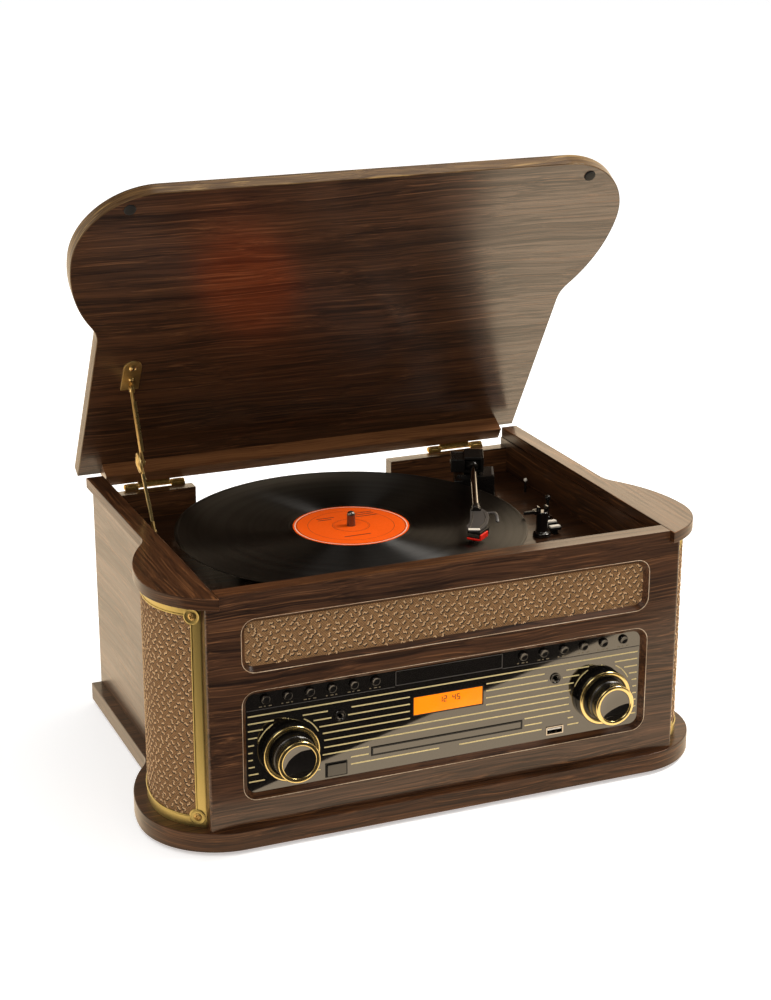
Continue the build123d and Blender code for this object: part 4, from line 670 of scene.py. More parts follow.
def cloth_material(name, warp, weft):
    tree, shader, _ = start_material(name)
    place = node(tree, "ShaderNodeUVMap", uv_map="Flat").outputs["UV"]
    add_group(tree, shader, "weave",
              {"Place": place, "Warp": opaque(warp), "Weft": opaque(weft), "Threads": 900.0},
              0.6, 0.3 * MM, {"Specular IOR Level": 0.2})


def vinyl_material():
    """Black vinyl with fine turned grooves and tracks"""
    tree, shader, place = start_material("vinyl")
    centre = calc_vector(tree, "SUBTRACT", place, (PLATTER[0] * MM, PLATTER[1] * MM, 0))
    radius = node(tree, "ShaderNodeVectorMath", {0: stretched(tree, centre, 1.0, 1.0, 0.0)},
                  operation="LENGTH").outputs["Value"]
    rings, tracks = (
        node(tree, "ShaderNodeTexNoise", {"W": radius, "Scale": scale, "Detail": detail},
             noise_dimensions="1D").outputs["Fac"] for scale, detail in ((900.0, 4.0), (130.0, 1.0)))
    colour = blend(tree, ramp(tree, tracks, 0.4, 0.6), opaque(rgb(7, 5, 4)), opaque(rgb(10, 8, 6)))
    tangent = node(tree, "ShaderNodeTangent", direction_type="RADIAL", axis="Z")
    send(tree, shader.inputs,
         {"Base Color": colour, "Roughness": ramp(tree, tracks, 0.35, 0.65, 0.39, 0.44),
          "Tangent": tangent.outputs[0], "Anisotropic": 1.0, "Anisotropic Rotation": 0.25, "IOR": 1.42})
    add_bump(tree, shader, 0.06, 0.1 * MM, rings)


def display_material(amber):
    """A lit window, a little uneven from side to side"""
    tree, shader, place = start_material("display light")
    uneven = ramp(tree, noise(tree, place, 30.0, 2.0), 0.3, 0.7)
    colour = blend(tree, uneven, opaque(amber), opaque(darker(amber, 0.86)))
    send(tree, shader.inputs,
         {"Base Color": colour, "Emission Color": colour, "Emission Strength": 0.62,
          "Roughness": ramp(tree, uneven, 0, 1, 0.12, 0.2), "Specular IOR Level": 0.25})


METAL = {"Metallic": 1.0}
# Name, tint and other tint as the screen shows them, roughness, scale, relief and other values
SURFACES = (
    # wood painted highlight: pale wood tones for the window bevels' outer rounding, a painted highlight line
    # along it
    ("wood line", (214, 188, 158), (166, 138, 108), (0.2, 0.3), 300.0, 0.08, {"Coat Weight": 0.8}),
    ("polished brass", (214, 196, 142), (206, 186, 130), (0.16, 0.22), 500.0, 0.02, METAL),
    ("aged brass", (186, 156, 98), (206, 178, 120), (0.45, 0.6), 260.0, 0.2, METAL),
    ("stay brass", (206, 184, 132), (176, 150, 98), (0.25, 0.35), 260.0, 0.05, METAL),
    ("hinge brass", (224, 192, 116), (178, 144, 80), (0.42, 0.55), 420.0, 0.2, METAL),
    ("gold print", (214, 196, 142), (206, 188, 134), (0.3, 0.45), 500.0, 0.08, {"Metallic": 0.2}),
    ("dull print", (120, 106, 80), (112, 98, 72), (0.3, 0.45), 500.0, 0.08, {}),
    ("gloss black", (12, 9, 7), (14, 11, 9), (0.03, 0.05), 120.0, 0.0, {"IOR": 1.95}),
    ("black plastic", (20, 18, 16), (22, 20, 18), (0.22, 0.3), 700.0, 0.03, {"Specular IOR Level": 0.35}),
    ("black gloss plastic", (16, 14, 13), None, (0.08, 0.16), 400.0, 0.02, {"Coat Weight": 0.6}),
    ("grey plastic", (64, 60, 57), None, (0.3, 0.42), 600.0, 0.08, {}),
    ("pale plastic", (228, 218, 202), (220, 210, 194), (0.4, 0.5), 600.0, 0.08, {}),
    ("rubber", (26, 25, 24), None, (0.6, 0.8), 900.0, 0.2, {}),
    ("chrome", (176, 170, 162), (168, 160, 152), (0.06, 0.14), 400.0, 0.02, METAL),
    ("steel", (124, 122, 118), (116, 114, 110), (0.25, 0.4), 400.0, 0.06, METAL),
    ("red plastic", (222, 26, 10), None, (0.16, 0.28), 500.0, 0.04, {}),
    ("label print", (90, 34, 12), None, (0.5, 0.6), 800.0, 0.08, {}),
    ("felt", (36, 34, 34), None, (0.9, 1.0), 1500.0, 0.5, {}),
    ("rib board", (140, 112, 82), (118, 92, 66), (0.6, 0.8), 300.0, 0.3, {}),
    ("green board", (26, 74, 40), (18, 58, 32), (0.3, 0.5), 500.0, 0.08, {}),
    ("iron core", (92, 88, 84), (70, 62, 56), (0.4, 0.6), 500.0, 0.3, {"Metallic": 0.8}),
    ("paper cone", (40, 38, 37), None, (0.7, 0.9), 900.0, 0.4, {}),
    ("display ink", (70, 26, 4), None, (0.3, 0.4), 500.0, 0.08, {}),
)


def make_finishes(s):
    """Every finish of the record player"""
    GROUPS.update(grain=grain_group(), weave=weave_group(), wear=wear_group())
    tones = dark, middle, light = opaque(s.wood_dark), opaque(s.wood_middle), opaque(s.wood_light)
    deck = opaque(darker(dark, 0.3)), opaque(darker(middle, 0.5)), middle
    # Lid rim tones, lighter and more golden than the wood's: the rim's own grain with a painted sheen where
    # its top edge catches the light
    lid_rim_tones_with_painted_sheen = [opaque(rgb(*shown)) for shown in ((60, 40, 22), (108, 80, 46), (172, 138, 84))]
    bevel = dark, opaque(rgb(92, 57, 33)), light
    wood("wood across", 0, (0.1, 0.0, 0.0), tones)
    wood("wood back", 90, (0.0, 0.3, 0.2), tones)
    wood("wood lid", 0, (0.4, 0.5, 0.1), tones, 0.8, coat=1.0, coat_rough=0.22, coat_ior=1.85)
    wood("wood top", 0, (0.4, 0.5, 0.1), tones, 0.8, coat=0.5, coat_rough=0.24)
    # Batten wood in lighter tones (middle and light in place of dark and middle): painted light on its lit
    # front face
    wood("wood batten painted light", 0, (0.2, 0.1, 0.6), (middle, light, light), 0.8)
    wood("wood side", 90, (0.4, 0.3, 0.2), tones, coat=0.55, coat_rough=0.26)
    wood("wood deck", 0, (0.3, 0.8, 0.2), deck, 0.6, coat=0.6)
    wood("wood edge", 0, (0.7, 0.2, 0.4), tones, 0.7, coat=0.35)
    wood("wood band", 0, (0.3, 0.2, 0.1), tones, 0.8, True, coat=0.22)
    wood("wood lid band", 0, (0.6, 0.4, 0.1), lid_rim_tones_with_painted_sheen, 0.9, True, coat=0.3, relief=0.9)
    wood("wood bevel", 0, (0.9, 0.3, 0.4), bevel, 0.6, coat=0.2, coat_rough=0.25)
    cloth_material("cloth", s.cloth, darker(s.cloth, 0.62))
    surface("cloth figure", s.figure, darker(s.figure, 0.75), (0.5, 0.7), 900.0, 0.3)
    surface("cloth shadow", darker(s.cloth, 0.1), None, (0.8, 0.9), 900.0)
    surface("brass", s.brass, darker(s.brass, 0.93), (0.42, 0.5), 900.0, 0.04, METAL)
    surface("label paper", s.label, darker(s.label, 0.9), (0.5, 0.65), 800.0, 0.1,
            {"Specular IOR Level": 0.15})
    for name, tint, other, *rest in SURFACES:
        surface(name, rgb(*tint), other and rgb(*other), *rest)
    vinyl_material()
    display_material(s.amber)


# ---- Plans ----


def half_plan(half, reach, lobe_y, nose, fillet, flank):
    """Right half of the lobed plan, from the middle of the rear to the middle of the front"""
    centre = reach - flank
    fx = half + fillet
    fy = lobe_y + math.sqrt((flank + fillet) ** 2 - (fx - centre) ** 2)
    lean = math.degrees(math.atan2(fy - lobe_y, fx - centre))
    points = [(half, REAR)]
    points += arc((fx, fy), fillet, 180, 180 + lean, 6)
    points += arc((centre, lobe_y), flank, lean, 0, 16)[1:]
    points += arc((reach - nose, lobe_y), nose, 0, -90, 28)[1:]
    return points


def plan_outline():
    """Plan of the base board, which the lid repeats"""
    right = half_plan(*BOARD_PLAN)
    return [(-x, y) for x, y in right] + list(reversed(right))


def cap_outline():
    """Plan of the right cap board, which ends beside the front panel's tongue"""
    _, reach, lobe_y, nose, _, _ = CAP_PLAN
    inner = TONGUE + 0.3
    kept = [p for p in half_plan(*CAP_PLAN) if p[0] > inner]
    end = lobe_y - math.sqrt(nose ** 2 - (inner - (reach - nose)) ** 2)
    outline = [(inner, REAR)] + kept + [(inner, end)]
    return list(reversed(soften(outline, [0.9] + [0] * len(kept) + [0.9])))


def window_loop(half, low, high, radius, steps=6):
    """A rounded rectangle in X and Z"""
    points = arc((half - radius, low + radius), radius, -90, 0, steps)
    points += arc((half - radius, high - radius), radius, 0, 90, steps)
    points += arc((radius - half, high - radius), radius, 90, 180, steps)
    points += arc((radius - half, low + radius), radius, 180, 270, steps)
    return points


# Corners of the front panel in X and Z, with the rounding of its ends
FRONT_OUTLINE = (
    (-WALL_OUTER, BASE_TOP, 2.5), (WALL_OUTER, BASE_TOP, 2.5), (WALL_OUTER, WALL_TOP, 2.5),
    (TONGUE, WALL_TOP, 0.0), (TONGUE, CAP_TOP, 0.0), (-TONGUE, CAP_TOP, 0.0), (-TONGUE, WALL_TOP, 0.0),
    (-WALL_OUTER, WALL_TOP, 2.5),
)
# Windows as half width, bottom, top and bevel
WINDOWS = ((178.0, 148.5, 194.5, 4.5), (178.5, 40.5, 134.5, 5.0))
WINDOW_CORNER = 7.5
# The rebate behind a window: how much wider it is, and its corners
REBATE = 8
REBATE_CORNER = 9.5


def front_form():
    """Front panel with two bevelled windows and a rebate behind each, and its bevels' faces"""
    points = []
    faces = []
    bevels = {}

    def loop(flat, y):
        start = len(points)
        points.extend((x, y, z) for x, z in flat)
        return list(range(start, start + len(flat)))

    def join(first, second):
        for i in range(len(first)):
            j = (i + 1) % len(first)
            faces.append((first[i], first[j], second[j], second[i]))

    outer = []
    for k in range(5):
        angle = k / 4 * math.pi / 2
        part = 1 - math.sin(angle)
        flat = [(x - math.copysign(r, x) * part, z) for x, z, r in FRONT_OUTLINE]
        start = len(points)
        points.extend((x, FRONT + r * (1 - math.cos(angle)), z)
                      for (x, z), (_, _, r) in zip(flat, FRONT_OUTLINE))
        outer.append(list(range(start, start + len(flat))))
    outer.append(loop([(x, z) for x, z, _ in FRONT_OUTLINE], FRONT_BACK))
    for first, second in zip(outer, outer[1:]):
        join(first, second)
    front_loops = [outer[0]]
    back_loops = [outer[-1]]
    for half, low, high, bevel in WINDOWS:
        profile = ((0.0, 0.0), (0.45, 0.08), (0.95, 0.38), (1.5, 0.95), (bevel - 0.7, bevel - 0.95),
                   (bevel - 0.25, bevel - 0.4), (bevel, bevel))
        loops = [loop(window_loop(half - i, low + i, high - i, WINDOW_CORNER + bevel - i), FRONT + d)
                 for i, d in profile]
        wide = window_loop(half - bevel + REBATE, low + bevel - REBATE, high - bevel + REBATE, REBATE_CORNER)
        loops.append(loop(wide, FRONT + bevel))
        loops.append(loop(wide, FRONT_BACK))
        for index, (first, second) in enumerate(zip(loops, loops[1:])):
            start = len(faces)
            join(first, second)
            # Faces of the ring next to the front face get finish 2, a painted highlight line; the other bevel
            # faces get finish 1
            bevels.update((face, 2 if index == 1 else 1) for face in range(start, len(faces)) if index)
        front_loops.append(loops[0])
        back_loops.append(loops[-1])
    for group in (front_loops, back_loops):
        order = [i for part in group for i in part]
        filled = tessellate_polygon([[Vector((points[i][0], points[i][2], 0)) for i in part]
                                     for part in group])
        faces.extend(tuple(order[i] for i in triangle) for triangle in filled)
    return (points, faces), bevels


# ---- Corner columns ----

# A column's sheet, its screws and its opening: lengths along the plan from the front end, and heights
COLUMN_START = math.acos((WALL_OUTER - NOSE[0]) / NOSE_RADIUS)
COLUMN_NOSE = COLUMN_START * NOSE_RADIUS
COLUMN_LENGTH = COLUMN_NOSE + math.acos((WALL_OUTER - FLANK[0]) / FLANK_RADIUS) * FLANK_RADIUS
SCREW_S = (COLUMN_START - math.radians(53.9)) * NOSE_RADIUS
SCREW_LEVELS = (28.4, 197.5)
BOSS = 6.5
OPEN_FROM = 8.0
OPEN_TO = 136.8
OPEN_LOW = 28.5
OPEN_HIGH = 198.0
# Cloth of a column: its hem along the plan, its foot, its height and its place behind the frame
CLOTH_HEM = 0.6
CLOTH_LOW = 23.7
CLOTH_HEIGHT = 178.5
CLOTH_OUT = -0.95


def column_at(s, out, side=1):
    """The point at a length along a column's plan, moved out from the frame's face, and its angle"""
    if s < COLUMN_NOSE:
        centre, radius, angle = NOSE, NOSE_RADIUS, s / NOSE_RADIUS - COLUMN_START
    else:
        centre, radius, angle = FLANK, FLANK_RADIUS, (s - COLUMN_NOSE) / FLANK_RADIUS
    x = centre[0] + (radius + out) * math.cos(angle)
    y = centre[1] + (radius + out) * math.sin(angle)
    return side * x, y, angle


def column_point(s, z, out, side):
    x, y, _ = column_at(s, out, side)
    return (x, y, z)


def boss_limits(s):
    """Where the frame's opening starts and ends in height at this length, round the screw bosses"""
    low, high = OPEN_LOW, OPEN_HIGH
    if abs(s - SCREW_S) < BOSS:
        rise = math.sqrt(BOSS ** 2 - (s - SCREW_S) ** 2)
        low = max(low, SCREW_LEVELS[0] + rise)
        high = min(high, SCREW_LEVELS[1] - rise)
    return low, high


def frame_form(side):
    """The brass sheet of one column with its opening, as an open skin, and the opening's edge line"""
    boss_end = SCREW_S + BOSS
    marks = [OPEN_FROM * k / 6 for k in range(7)]
    marks += [OPEN_FROM + (boss_end - OPEN_FROM) * math.sin(k / 12 * math.pi / 2) for k in range(1, 13)]
    marks += [boss_end + (OPEN_TO - boss_end) * k / 40 for k in range(1, 41)]
    marks += [OPEN_TO + (COLUMN_LENGTH - OPEN_TO) * k / 4 for k in range(1, 5)]
    points = []
    faces = []
    for s in marks:
        low, high = boss_limits(max(s, OPEN_FROM))
        for z in (BASE_TOP + 0.1, low, high, WALL_TOP - 0.1):
            points.append(column_point(s, z, 0.0, side))
    first = next(i for i, s in enumerate(marks) if s >= OPEN_FROM - 1e-6)
    last = next(i for i, s in enumerate(marks) if s >= OPEN_TO - 1e-6)
    for i in range(len(marks) - 1):
        for row in range(3):
            if row == 1 and first <= i < last:
                continue
            a = i * 4 + row
            quad = (a, a + 4, a + 5, a + 1)
            faces.append(quad if side > 0 else tuple(reversed(quad)))
    edge = [column_point(s, boss_limits(s)[0], -0.1, side) for s in marks[first:last + 1]]
    edge += [column_point(OPEN_TO, OPEN_LOW + (OPEN_HIGH - OPEN_LOW) * k / 24, -0.1, side)
             for k in range(1, 24)]
    edge += [column_point(s, boss_limits(s)[1], -0.1, side) for s in reversed(marks[first:last + 1])]
    low, high = boss_limits(OPEN_FROM)
    edge += [column_point(OPEN_FROM, high + (low - high) * k / 24, -0.1, side) for k in range(1, 24)]
    return (points, faces), edge


# One figure as a bent line, with half the width of its yarn at each point
FIGURE = ((-1.0, -0.5), (-0.85, 0.05), (-0.45, 0.32), (0.0, 0.05), (0.4, -0.32), (0.85, -0.3), (1.1, 0.2))
YARN = (0.3, 0.45, 0.65, 0.6, 0.65, 0.45, 0.3)
# Grid of the figures: its pitch and start across and along, and how far a figure strays from it
PITCH = (7.0, 4.3)
START = (1.5, 2.0)
STRAY = (1.3, 0.9)
LEANS = (62, -42, 20)
LEAN_STRAY = 18
MARGIN = 0.8
# The shadow beside a figure: how much wider it is and how far it is shifted
SHADOW_WIDER = 0.5
SHADOW_SHIFT = (0.5, -0.75)


def add_figures(shape, width, height, to_point, length, rng):
    """Raised figures in staggered rows, each over a soft shadow; to_point places X, Y and height"""
    for row in range(int(height / PITCH[1]) + 1):
        for column in range(int(width / PITCH[0]) + 1):
            x = (column + 0.5 * (row % 2)) * PITCH[0] + rng.uniform(-STRAY[0], STRAY[0]) + START[0]
            y = row * PITCH[1] + rng.uniform(-STRAY[1], STRAY[1]) + START[1]
            lean = math.radians(LEANS[(row + 2 * column) % 3] + rng.uniform(-LEAN_STRAY, LEAN_STRAY))
            half = length / 2 * rng.uniform(0.8, 1.15)
            hook = 1 if (row // 2 + column) % 2 else -1
            cos, sin = math.cos(lean), math.sin(lean)
            line = []
            for along, across in FIGURE:
                px, py = along * half, across * half * hook
                line.append((x + px * cos - py * sin, y + px * sin + py * cos))
            if all(MARGIN <= px <= width - MARGIN and MARGIN <= py <= height - MARGIN for px, py in line):
                shadow = [width_here + SHADOW_WIDER for width_here in YARN]
                add_strip(shape, line, shadow, 0.06, 0.06, to_point, 1, SHADOW_SHIFT)
                add_strip(shape, line, YARN, 0.14, 0.62, to_point, 0, (0.0, 0.0))


def add_strip(shape, line, widths, low, high, to_point, finish, shift):
    """A low rounded strip along a flat line: an edge, a crest and an edge at each point"""
    points = []
    for i, (x, y) in enumerate(line):
        ahead = line[min(i + 1, len(line) - 1)]
        behind = line[max(i - 1, 0)]
        dx, dy = ahead[0] - behind[0], ahead[1] - behind[1]
        size = math.hypot(dx, dy)
        nx, ny = -dy / size * widths[i], dx / size * widths[i]
        x += shift[0]
        y += shift[1]
        for share, level in ((1.0, low), (0.5, high * 0.86), (-0.5, high * 0.86), (-1.0, low)):
            points.append(to_point(x + nx * share, y + ny * share, level))
    shape.add((points, rings_to_faces(4, len(line), closed=False)), finish)


def screw_head(radius, height):
    """A domed head with a cross recess, as rings that dip along the cross"""
    rings, sides = 8, 40
    points = [(0, 0, height - 0.9)]
    faces = []
    for ring in range(1, rings + 1):
        share = ring / rings
        for k in range(sides):
            angle = math.tau * k / sides
            x, y = share * math.cos(angle), share * math.sin(angle)
            level = height * math.sqrt(max(0.0, 1 - (share * 0.97) ** 2))
            cross = min(abs(x), abs(y)) < 0.14 and share < 0.6
            points.append((x * radius, y * radius, level - (0.8 if cross else 0.0)))
    for k in range(sides):
        j = (k + 1) % sides
        faces.append((0, 1 + k, 1 + j))
        for ring in range(rings - 1):
            a = 1 + ring * sides
            faces.append((a + k, a + sides + k, a + sides + j, a + j))
    start = len(points)
    points.extend((radius * math.cos(math.tau * k / sides), radius * math.sin(math.tau * k / sides), -0.3)
                  for k in range(sides))
    outer = 1 + (rings - 1) * sides
    for k in range(sides):
        j = (k + 1) % sides
        faces.append((outer + k, start + k, start + j, outer + j))
    faces.append(tuple(range(start, start + sides)))
    return points, faces


# ---- Operators ----


class PlayerOperator:
    """What every operator of the record player shares"""

    bl_options = {"REGISTER", "UNDO"}

    def execute(self, context):
        self.make(context.scene.record_player)
        return {"FINISHED"}


# The camera's place: degrees round Z, above the floor and about its own line, and metres
CAMERA_TARGET = (0, 0, 0.22405)
CAMERA_TURN = -22.79
CAMERA_RISE = 18.72
CAMERA_ROLL = 0.11
CAMERA_DISTANCE = 1.76246
SENSOR = 36.0
FOCAL_PIXELS = 2090.73
PHOTO_PIXELS = 771
LAMP_TARGET = (0, 0, 0.15)
LAMP_TINT = (1.0, 0.95, 0.87)
# Name, place, side and power of each square lamp
LAMPS = (
    ("Key lamp", (-1.3, -1.2, 2.1), 1.3, 15.0),
    ("Fill lamp", (1.75, -0.2, 2.1), 0.8, 52.0),
    ("Top lamp", (0.75, 0.3, 2.4), 1.1, 9.0),
)
FLOOR_REACH = 12.0
# A dark card in front of the cabinet, which only glossy surfaces see
CARD = ((-0.15, -0.215), (0.345, -0.423), (0.62, -0.535), (5.0, -3.0), (5.0, -11.0), (-6.0, -11.0),
        (-6.0, -2.0), (-0.9, -0.3))
CARD_HEIGHT = 0.002
WHITE = (1, 1, 1, 1)
BLACK = (0, 0, 0, 1)
FLOOR_GREY = (0.93, 0.93, 0.93, 1)
# Strengths: the studio's plain light, the floor's glow, and what glossy rays see in front and above
STUDIO = 0.62
FLOOR_GLOW = 0.42
IN_FRONT = 0.03
CEILING = 0.3


def look(piece, way):
    """Turn a camera or a lamp so that it looks this way"""
    piece.rotation_mode = "QUATERNION"
    piece.rotation_quaternion = way.to_track_quat("-Z", "Y")


def add_sheet(name, corners, height):
    """A flat piece of the stage that wears the material of its name"""
    mesh = bpy.data.meshes.new(name)
    mesh.from_pydata([(x, y, height) for x, y in corners], [], [tuple(range(len(corners)))])
    mesh.materials.append(FINISH[name])
    sheet = add_object(name, mesh)
    return sheet


class PLAYER_OT_stage(PlayerOperator, bpy.types.Operator):
    """Camera, pale floor, a dark card for reflections and soft studio light"""

    bl_idname = "player.stage"
    bl_label = "Stage"

    def make(self, s):
        scene = bpy.context.scene
        scene.view_settings.view_transform = "Standard"
        turn, rise = math.radians(CAMERA_TURN), math.radians(CAMERA_RISE)
        back = Vector((math.sin(turn) * math.cos(rise), -math.cos(turn) * math.cos(rise), math.sin(rise)))
        data = bpy.data.cameras.new("Camera")
        data.sensor_fit = "HORIZONTAL"
        data.sensor_width = SENSOR
        data.lens = FOCAL_PIXELS * SENSOR / PHOTO_PIXELS
        camera = add_object("Camera", data, Vector(CAMERA_TARGET) + back * CAMERA_DISTANCE)
        look(camera, -back)
        roll = Matrix.Rotation(math.radians(CAMERA_ROLL), 4, "Z").to_quaternion()
        camera.rotation_quaternion = camera.rotation_quaternion @ roll
        scene.camera = camera
        scene.world = self.world()
        self.floor()
        self.card()
        for name, place, size, power in LAMPS:
            lamp = bpy.data.lights.new(name, "AREA")
            lamp.shape = "SQUARE"
            lamp.size = size
            lamp.energy = power
            lamp.color = LAMP_TINT
            look(add_object(name, lamp, place), Vector(LAMP_TARGET) - Vector(place))

    def world(self):
        """A plain studio with a bright wall behind the cabinet, which only glossy rays see"""
        world = bpy.data.worlds.new("Studio")
        world.use_nodes = True
        tree = world.node_tree
        tree.nodes.clear()
        path = tree.nodes.new("ShaderNodeLightPath").outputs
        place = tree.nodes.new("ShaderNodeTexCoord").outputs["Generated"]
        aim = node(tree, "ShaderNodeSeparateXYZ", {0: place})
        behind = ramp(tree, aim.outputs[1], -0.35, 0.05, IN_FRONT, 1.0)
        wall = calc(tree, "MULTIPLY", behind, ramp(tree, aim.outputs[2], 0.4, 0.7, GLARE, CEILING))
        seen = calc(tree, "MAXIMUM", path["Is Camera Ray"], path["Is Transmission Ray"])
        plain = ramp(tree, seen, 0, 1, STUDIO, 1.0)
        strength = node(tree, "ShaderNodeMix", {0: path["Is Glossy Ray"], 2: plain, 3: wall}).outputs[0]
        light = node(tree, "ShaderNodeBackground",
                     {"Color": blend(tree, path["Is Glossy Ray"], WHITE, WARM), "Strength": strength})
        node(tree, "ShaderNodeOutputWorld", {0: light.outputs[0]})
        return world

    def floor(self):
        """A pale floor that lifts a little towards the camera and glares in reflections"""
        tree, shader, place = start_material("Floor")
        path = tree.nodes.new("ShaderNodeLightPath").outputs
        glossy = path["Is Glossy Ray"]
        glow = calc(tree, "MULTIPLY", path["Is Camera Ray"], FLOOR_GLOW)
        glow = calc(tree, "MULTIPLY_ADD", glossy, GLARE, glow)
        send(tree, shader.inputs,
             {"Base Color": blend(tree, glossy, FLOOR_GREY, BLACK), "Specular IOR Level": 0.0,
              "Roughness": ramp(tree, noise(tree, place, 6.0, 3.0), 0.3, 0.7, 0.85, 0.95)})
        light = node(tree, "ShaderNodeEmission",
                     {"Color": blend(tree, glossy, WHITE, WARM), "Strength": glow})
        both = node(tree, "ShaderNodeAddShader", {0: shader.outputs[0], 1: light.outputs[0]})
        feed(tree, tree.nodes["Material Output"].inputs[0], both.outputs[0])
        far = FLOOR_REACH
        add_sheet("Floor", ((-far, -far), (far, -far), (far, far), (-far, far)), 0)

    def card(self):
        tree, shader, place = start_material("Dark card")
        tint = blend(tree, noise(tree, place, 4.0), (0.012, 0.010, 0.008, 1), (0.02, 0.017, 0.014, 1))
        send(tree, shader.inputs, {"Base Color": tint, "Roughness": 0.9})
        card = add_sheet("Dark card", CARD, CARD_HEIGHT)
        for ray in ("camera", "diffuse", "transmission", "shadow"):
            setattr(card, "visible_" + ray, False)


# Finishes of the frame's own nodes; the others are black plastic
WEAR = {
    "rear_panel": "wood across", "side_panels": "wood side", "lid_batten": "wood batten painted light",
    "deck_plate": "wood deck", "control_panel": "gloss black", "cd_tray": "gloss black",
    "slip_mat": "felt", "corner_ribs": "rib board", "platter": "steel", "motor": "steel",
    "cd_mechanism": "steel", "main_board": "green board", "transformer": "iron core",
    "speakers": "paper cone", "drive_belt": "rubber", "motor_pulley": "brass",
}


class PLAYER_OT_finishes(PlayerOperator, bpy.types.Operator):
    """Every finish, and the ones that the frame's own nodes wear"""

    bl_idname = "player.finishes"
    bl_label = "Finishes"

    def make(self, s):
        make_finishes(s)
        for name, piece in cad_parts.items():
            finish = FINISH[WEAR.get(name, "black plastic")]
            if not piece.material_slots:
                piece.data.materials.append(finish)
            for place in piece.material_slots:
                place.material = finish


class PLAYER_OT_boards(PlayerOperator, bpy.types.Operator):
    """Base board, cap boards and the front panel with its windows"""

    bl_idname = "player.boards"
    bl_label = "Boards"

    def make(self, s):
        edge = s.edge_round / MM
        base = Shape()
        add_board(base, plan_outline(), BASE_LOW, BASE_TOP, edge)
        make_piece("base_plinth", base, "cabinet", ["wood edge", "wood band"], ["base_board"],
                   flat=True)
        caps = Shape()
        for mirror in (False, True):
            add_board(caps, cap_outline(), WALL_TOP + 0.05, CAP_TOP, edge, mirror=mirror)
        make_piece("cap_pair", caps, "cabinet", ["wood back", "wood band"], ["cap_boards"],
                   flat=True)
        form, bevels = front_form()
        front = Shape().add(form)
        for index, finish in bevels.items():
            front.finishes[index] = finish
        make_piece("front_board", front, "cabinet", ["wood across", "wood bevel", "wood line"],
                   ["front_panel"], sharp=50)


SCREW_RING = ((5.9, -0.5), (6.5, -0.1), (6.45, 0.5), (5.9, 0.75), (5.3, 0.5), (4.4, 0.25), (3.4, 0.2),
              (3.3, -0.4))
SCREW_TWISTS = (20, 65)
# The figures of a column spread this far past the opening
SPREAD = 2
# Grille cloth: half width, bottom, top and place behind the front panel's face
GRILLE = (181.3, 145.2, 197.8, 4.55)
# The part of it that bears figures: half width, bottom and height
GRILLE_FIGURES = (175.5, 151.0, 41.0)


class PLAYER_OT_columns(PlayerOperator, bpy.types.Operator):
    """Brass frames, domed screws and figured cloth of the corner columns, and the long grille cloth"""

    bl_idname = "player.columns"
    bl_label = "Columns and cloth"

    def make(self, s):
        rng = random.Random(11)
        self.frames()
        length = s.figure_length / MM
        for side, name in zip(SIDES, ("left", "right")):
            size = COLUMN_LENGTH - 2 * CLOTH_HEM, CLOTH_HEIGHT
            form = cloth_form(CLOTH_HEM, CLOTH_LOW, *size, 60, 12,
                              lambda along, z: column_point(along, z, CLOTH_OUT, side), side)
            figures = Shape()
            add_figures(figures, OPEN_TO - OPEN_FROM + 2 * SPREAD, OPEN_HIGH - OPEN_LOW + 2 * SPREAD,
                        lambda x, y, out: column_point(x + OPEN_FROM - SPREAD, y + OPEN_LOW - SPREAD,
                                                       out + CLOTH_OUT, side), length, rng)
            self.cloth(name + "_column", form, figures, size, "corner_ribs")
        half, low, high, depth = GRILLE
        size = 2 * half, high - low
        form = cloth_form(-half, low, *size, 60, 8, lambda x, z: (x, FRONT + depth, z))
        reach, foot, tall = GRILLE_FIGURES
        figures = Shape()
        add_figures(figures, 2 * reach, tall, lambda x, y, out: (x - reach, FRONT + depth - out, y + foot),
                    length, rng)
        self.cloth("grille", form, figures, size, "front_board")

    def frames(self):
        frames = Shape()
        beads = Shape()
        heads = Shape()
        for side in SIDES:
            sheet, edge = frame_form(side)
            frames.add(sheet)
            beads.add(tube(edge, 0.75, 8, closed=True))
            x, y, angle = column_at(SCREW_S, 0.0, side)
            turn = math.degrees(angle)
            for z, twist in zip(SCREW_LEVELS, SCREW_TWISTS):
                place = at(x, y, z, turn if side > 0 else 180 - turn) @ at(0, 0, 0, 90, "Y")
                beads.add(lathe(SCREW_RING, 40, closed=True), 0, place)
                heads.add(screw_head(3.2, 1.5), 0, place @ at(0, 0, 0.1, twist))
        make_piece("column_frames", frames, "cabinet", ["brass"], ["corner_frames"],
                   closed=False, thickness=0.8)
        make_piece("column_beads", beads, "cabinet", ["brass"])
        make_piece("column_screws", heads, "cabinet", ["aged brass"], ["frame_screws"], sharp=28)

    def cloth(self, name, form, figures, size, holder):
        """One stretched cloth and its raised figures"""
        form, flat = form
        skin = make_piece(name + "_cloth", Shape().add(form, flat=flat), "cabinet", ["cloth"],
                          ["speaker_cloths"], closed=False, flat=True)
        raised = make_piece(name + "_figures", figures, "cabinet", ["cloth figure", "cloth shadow"],
                            closed=False)


# Places on the control panel
KNOBS = (-KNOB_X, KNOB_X)
JACKS = (-JACK_X, JACK_X)
JACK_Z = 99.1
LINE_TOP = 110.7
LINE_PITCH = 6.2
LINE_END = 172.0
KNOB_CLEAR = 30
# Gaps in the printed lines: above, below, start and end
LINE_GAPS = (
    (95, 101, -JACK_X - 7, -JACK_X + 7), (95, 101, JACK_X - 7, JACK_X + 7),
    (101, 106, -JACK_X - 10, -JACK_X + 10), (101, 106, JACK_X - 10, JACK_X + 10),
    (85, 106, -35.0, 32.5), (57, 69, -70.5, 68.0), (46, 67, -112.0, -86.0), (46, 67, 84.0, 108.0),
    (46, 58, -9.0, 9.0),
)
INK = 0.08
